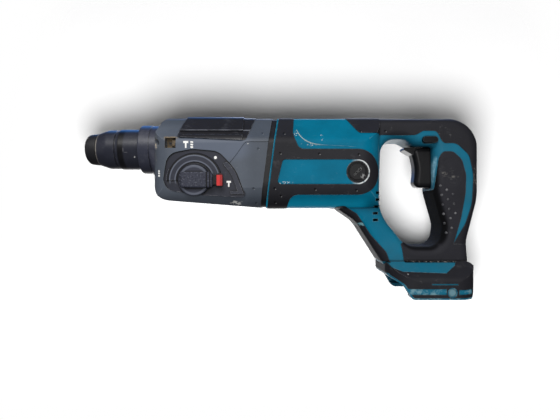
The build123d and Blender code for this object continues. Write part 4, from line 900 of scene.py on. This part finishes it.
class HAMMER_OT_grip_dots(bpy.types.Operator):
    """Raise the rows of round dots on both grip panels"""

    bl_idname = "hammer.grip_dots"
    bl_label = "Grip dots"

    def dot(self, sizes):
        """One dot: a low dome, widest at its foot."""
        deselect()
        bpy.ops.mesh.primitive_circle_add(
            vertices=sizes.round_sides, radius=sizes.dot_radius * DOT_FOOT, fill_type="NGON",
            location=(0, 0, 0),
        )
        bpy.ops.object.mode_set(mode="EDIT")
        for share, left in DOT_STEPS:
            step = {"value": (0, 0, sizes.dot_height * share)}
            bpy.ops.mesh.extrude_region_move(TRANSFORM_OT_translate=step)
            bpy.ops.transform.resize(value=(left, left, 1))
        bpy.ops.object.mode_set(mode="OBJECT")
        return bpy.context.object

    def places(self, panel, side):
        """The dots' seats on one grip panel, where it faces sideways."""
        found = []
        for row in DOT_ROWS:
            for column in DOT_COLUMNS:
                x = DOT_START[0] + DOT_COLUMN[0] * column + DOT_ROW[0] * row
                z = DOT_START[1] + DOT_COLUMN[1] * column + DOT_ROW[1] * row
                back = DOT_BACK - max(0.0, (DOT_NARROWS - z) * DOT_SLOPE)
                if DOT_LOWEST < z < DOT_HIGHEST and x < back:
                    met = touch([panel], x, z, side, must=False)
                    if met and abs(met[1].y) > 0.4:
                        found.append(seat(*met, 0.05 * MM))
        return found

    def execute(self, context):
        sizes = context.scene.hammer_sizes
        black = tuple(context.scene.hammer_colours.overmould)
        # The dots' rubber is lighter than the grip's and their finish adds a painted highlight
        finish = moulded(
            "dot_rubber", shade(black, 1.6), roughness=0.34, grain=1500, depth=0.01, wear=0.5,
            pale=srgb(170, 170, 170), more=dot_highlight, gloss=0.35,
        )
        for side, name in SIDES:
            piece = copies(self.dot(sizes), self.places(f"{name}_grip_panel", side))
            settle(piece, f"{name}_grip_dots", "housing", finish, 60)
        return {"FINISHED"}


class HAMMER_OT_panel_ridges(bpy.types.Operator):
    """Run the moulded ridge along the lower front of both upper shell panels"""

    bl_idname = "hammer.panel_ridges"
    bl_label = "Shell ridges"

    sink, end_share = 0.20 * MM, 0.35

    def execute(self, context):
        teal = tuple(context.scene.hammer_colours.teal)
        finish = moulded(
            "ridge_teal", shade(teal, 1.1), roughness=0.46, grain=1700, depth=0.016, wear=1.0,
            pale=srgb(170, 196, 200), more=ridge_crest,
        )
        for side, name in SIDES:
            line = bpy.data.curves.new("ridge", "CURVE")
            line.dimensions = "3D"
            spline = line.splines.new("NURBS")
            spline.points.add(len(PANEL_RIDGE) - 1)
            for point, (x, z) in zip(spline.points, PANEL_RIDGE):
                place, normal = touch([f"{name}_housing"], x, z, side)
                point.co = (*(place - normal * self.sink), 1.0)
            spline.points[0].radius = spline.points[-1].radius = self.end_share
            spline.use_endpoint_u, spline.order_u = True, 3
            line.bevel_depth = context.scene.hammer_sizes.ridge_radius
            line.bevel_resolution, line.resolution_u = 3, 6
            line.use_fill_caps = True
            piece = solid("ridge", line)
            settle(piece, f"{name}_panel_ridge", "housing", finish, 60)
        return {"FINISHED"}


class HAMMER_OT_mode_marks(bpy.types.Operator):
    """Print the mode marks round the selector: a hammer, a drill bit, both, and the pointer dot"""

    bl_idname = "hammer.mode_marks"
    bl_label = "Mode marks"

    hammer = [[
        (-0.7, -2.9), (0.7, -2.9), (0.7, 1.2), (2.1, 1.0), (2.1, 2.9), (-2.1, 2.9), (-2.1, 1.0),
        (-0.7, 1.2),
    ]]
    drill = [
        [(-1.1, 1.5), (1.1, 1.1), (1.1, 2.6), (-1.1, 2.9)],
        [(-1.1, -0.5), (1.1, -0.9), (1.1, 0.5), (-1.1, 0.9)],
        [(-1.1, -2.5), (0.0, -3.1), (1.1, -2.7), (1.1, -1.5), (-1.1, -1.1)],
    ]
    pointer = [[
        (1.35 * math.cos(k * math.pi / 8), 1.35 * math.sin(k * math.pi / 8)) for k in range(16)
    ]]
    # Each mark's outline, its place along X and Z, and its scale
    marks = [
        (hammer, 95.2, -0.5, 1.0), (drill, 100.2, -0.6, 1.0), (drill, 72.6, -24.2, 0.95),
        (pointer, 119.6, -11.2, 0.95), (hammer, 130.6, -33.0, 0.86),
    ]

    def execute(self, context):
        depth = context.scene.hammer_sizes.print_depth
        finish = moulded(
            "mode_print", tuple(context.scene.hammer_colours.print_white), roughness=0.5,
            grain=1800, depth=0.006, wear=0.4, pale=srgb(255, 255, 255), more=rubbed_print,
        )
        made = []
        for outline, x, z, scale in self.marks:
            place = seat(*touch(["gear_housing", "selector_plate"], x, z, -1))
            outline = [[(across * scale, up * scale) for across, up in line] for line in outline]
            made.append(copies(plate(outline, depth), [place]))
        settle(join(made), "mode_marks", "housing", finish, 30)
        return {"FINISHED"}


class HAMMER_OT_sleeve_spring(bpy.types.Operator):
    """Wind the chuck's spring"""

    bl_idname = "hammer.sleeve_spring"
    bl_label = "Chuck spring"

    steps = 24

    def execute(self, context):
        sizes = context.scene.hammer_sizes
        wire, turns = sizes.spring_wire, sizes.spring_turns
        low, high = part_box("sleeve_spring")
        behaviour = frame["record"]["behaviour"]
        bodies, joints = behaviour["bodies"], behaviour["joints"]
        body = next(name for name, nodes in bodies.items() if "sleeve_spring" in nodes)
        slide = next(joint for joint in joints if joint["name"] == "sleeve_slide")
        travel = slide["range_m"][1]
        deselect()
        bpy.ops.mesh.primitive_circle_add(
            vertices=sizes.round_sides, radius=wire, location=(low[0] + wire, high[2] - wire, 0.0)
        )
        coil = context.object
        bpy.ops.object.transform_apply(location=True, rotation=True, scale=True)
        bpy.ops.object.modifier_add(type="SCREW")
        winding = coil.modifiers[-1]
        winding.axis, winding.steps, winding.render_steps = "X", self.steps, self.steps
        winding.iterations = turns
        winding.screw_offset = (high[0] - low[0] - 2 * wire) / turns
        bpy.ops.object.modifier_apply(modifier=winding.name)
        bpy.ops.object.mode_set(mode="EDIT")
        bpy.ops.mesh.select_all(action="SELECT")
        bpy.ops.mesh.fill_holes(sides=0)
        bpy.ops.object.mode_set(mode="OBJECT")
        coil = settle(coil, "wound_sleeve_spring", body, FINISHES["steel"])
        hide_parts("sleeve_spring")
        1 - travel / (high[0] - low[0])
        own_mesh(coil)
        return {"FINISHED"}


class HAMMER_OT_stage(bpy.types.Operator):
    """Set the camera, the lamps, the world and the pale backdrop that takes the tool's shadow"""

    bl_idname = "hammer.stage"
    bl_label = "Stage"

    def lamp(self, name, place, size, power, colour=(1.0, 1.0, 1.0), gloss=LAMP_GLOSS):
        """A round lamp that faces the tool."""
        data = bpy.data.lights.new(name, "AREA")
        data.shape, data.size, data.energy, data.color = "DISK", size, power, colour
        data.specular_factor = gloss
        lamp = put(name, data, place)
        way = Vector(TOOL_MIDDLE) - Vector(place)
        lamp.rotation_euler = way.to_track_quat("-Z", "Y").to_euler()
        return lamp

    def even_lamp(self, name, place, radius, strength):
        """A round lamp that doesn't fade with distance, so that the backdrop is evenly lit."""
        data = bpy.data.lights.new(name, "POINT")
        data.energy, data.shadow_soft_size = 1.0, radius
        g = Graph(name, data)
        even = g.node("ShaderNodeLightFalloff", inputs={"Strength": strength}, output="Constant")
        glow = g.node("ShaderNodeEmission", inputs={"Strength": even})
        g.node("ShaderNodeOutputLight", inputs={"Surface": glow})
        return put(name, data, place)

    def light_only(self, lamp, plane, state):
        """Lets a lamp light the backdrop alone, or everything but the backdrop."""
        group = bpy.data.collections.new(lamp.name + "_lights")
        group.objects.link(plane)
        group.collection_objects[0].light_linking.link_state = state
        lamp.light_linking.receiver_collection = group

    def world(self, strength):
        """Soft light from all round and a white background; gloss shows lit panels and a glow."""
        world = bpy.data.worlds.new("studio")
        bpy.context.scene.world = world
        g = Graph("studio", world)
        up, away = g.z, g.y
        level = g.mix(up.rise(-0.9, 0.6), SKY_LOW, SKY_HIGH)
        level = g.mix(away.rise(0.0, 0.9) * 0.5, level, SKY_BEHIND)
        upper = g.dot(g.place, Vector(UPPER_PANEL).normalized()).rise(0.72, 0.93)
        beside = g.dot(g.place, Vector(SIDE_PANEL).normalized()).rise(0.80, 0.95) * 0.5
        room = g.mix(upper | beside, ROOM_DARK, PANEL_LIGHT)
        glow = away.rise(0.30, 0.55) * up.span(0.02, 0.16, 0.80, 0.94) * abs(g.x).rise(0.55, 0.30)
        room = g.mix(glow, room, BLUE_GLOW)
        glossy = g.path("Is Glossy Ray")
        level = g.mix(glossy, level, room)
        light = g.node("ShaderNodeBackground", inputs={"Color": level, "Strength": strength})
        white = {"Color": (1, 1, 1, 1), "Strength": 1.0}
        behind = glossy * away.rise(0.74, 0.88) * (1 - glow)
        seen = g.path("Is Camera Ray") | g.path("Is Transmission Ray") | behind
        shown = g.blend(seen, light, g.node("ShaderNodeBackground", inputs=white))
        g.node("ShaderNodeOutputWorld", inputs={"Surface": shown})

    def backdrop(self):
        """A pale plane that leans back behind the tool, seen from its front near the shadow."""
        deselect()
        bpy.ops.mesh.primitive_grid_add(
            x_subdivisions=8, y_subdivisions=8, size=BACKDROP_SIZE, location=BACKDROP_PLACE,
            rotation=(BACKDROP_LEAN, 0, 0),
        )
        plane = bpy.context.object
        plane.name = "backdrop"
        bpy.ops.object.transform_apply(location=True, rotation=True, scale=True)
        g = Graph("backdrop_paper")
        behind = g.node("ShaderNodeNewGeometry", output="Backfacing")
        near = g.x.span(-120, -50, 430, 500) * g.z.span(-240, -170, 150, 240)
        slant = g.node("ShaderNodeLayerWeight", inputs={"Blend": 0.5}, output="Facing")
        seen = g.path("Is Camera Ray") * (1 - behind) * near * slant.rise(0.50, 0.38)
        paper = g.node("ShaderNodeBsdfDiffuse", inputs={"Color": PAPER_GREY})
        shown = g.blend(seen, g.node("ShaderNodeBsdfTransparent"), paper)
        g.node("ShaderNodeOutputMaterial", inputs={"Surface": shown})
        plane.data.materials.append(g.owner)
        return plane

    def camera(self, stage):
        """The camera, level and straight on, as the photograph was taken."""
        data = bpy.data.cameras.new("photo_camera")
        data.sensor_width, data.lens = SENSOR_WIDTH, stage.lens
        data.clip_start, data.clip_end = NEAREST, FURTHEST
        camera = put("photo_camera", data, stage.eye)
        camera.rotation_euler = (math.radians(90), 0, 0)
        return camera

    def execute(self, context):
        stage = context.scene.hammer_stage
        context.scene.view_settings.view_transform = "Standard"
        context.scene.camera = self.camera(stage)
        plane = self.backdrop()
        warm, low_share = (1.0, 0.99, 0.97), 0.6
        for lamp in (
            self.lamp("key", (0.02, -0.80, 0.60), 0.50, stage.key, warm, gloss=1.0),
            self.lamp("front", (0.30, -0.95, 0.05), 0.35, stage.fill),
            self.lamp("back", (0.30, 0.75, 0.50), 0.6, stage.back),
            self.lamp("back_low", (0.42, 0.7, -0.2), 0.6, stage.back * low_share),
            self.lamp("front_low", (0.20, -0.70, -0.62), 0.6, stage.low),
        ):
            self.light_only(lamp, plane, "EXCLUDE")
        for lamp in (
            self.even_lamp("shadow", (0.165, -0.40, -0.155), 0.085, stage.shadow),
            self.even_lamp("halo", (0.18, -0.38, -0.26), 0.28, stage.halo),
        ):
            self.light_only(lamp, plane, "INCLUDE")
        self.world(stage.sky)
        return {"FINISHED"}


class HAMMER_PT_build(bpy.types.Panel):
    """The tool's finishes, details and stage"""

    bl_idname = "HAMMER_PT_build"
    bl_label = "Rotary hammer"
    bl_space_type = "VIEW_3D"
    bl_region_type = "UI"
    bl_category = "Hammer"

    def draw(self, context):
        scene = context.scene
        for group in (scene.hammer_colours, scene.hammer_sizes, scene.hammer_stage):
            box = self.layout.box()
            for key in group.__annotations__:
                box.prop(group, key)
        for step in STEPS:
            self.layout.operator(step.bl_idname)


STEPS = [
    HAMMER_OT_finish_nodes,
    HAMMER_OT_grip_dots,
    HAMMER_OT_panel_ridges,
    HAMMER_OT_mode_marks,
    HAMMER_OT_sleeve_spring,
    HAMMER_OT_stage,
]
CLASSES = [HammerColours, HammerSizes, HammerStage, *STEPS, HAMMER_PT_build]


def register():
    for cls in CLASSES:
        bpy.utils.register_class(cls)
    bpy.types.Scene.hammer_colours = PointerProperty(type=HammerColours)
    bpy.types.Scene.hammer_sizes = PointerProperty(type=HammerSizes)
    bpy.types.Scene.hammer_stage = PointerProperty(type=HammerStage)


def unregister():
    for name in ("hammer_colours", "hammer_sizes", "hammer_stage"):
        delattr(bpy.types.Scene, name)
    for cls in reversed(CLASSES):
        bpy.utils.unregister_class(cls)


def main():
    register()
    bpy.ops.hammer.finish_nodes()
    bpy.ops.hammer.grip_dots()
    bpy.ops.hammer.panel_ridges()
    bpy.ops.hammer.mode_marks()
    bpy.ops.hammer.sleeve_spring()
    bpy.ops.hammer.stage()


if __name__ == "__main__":
    main()
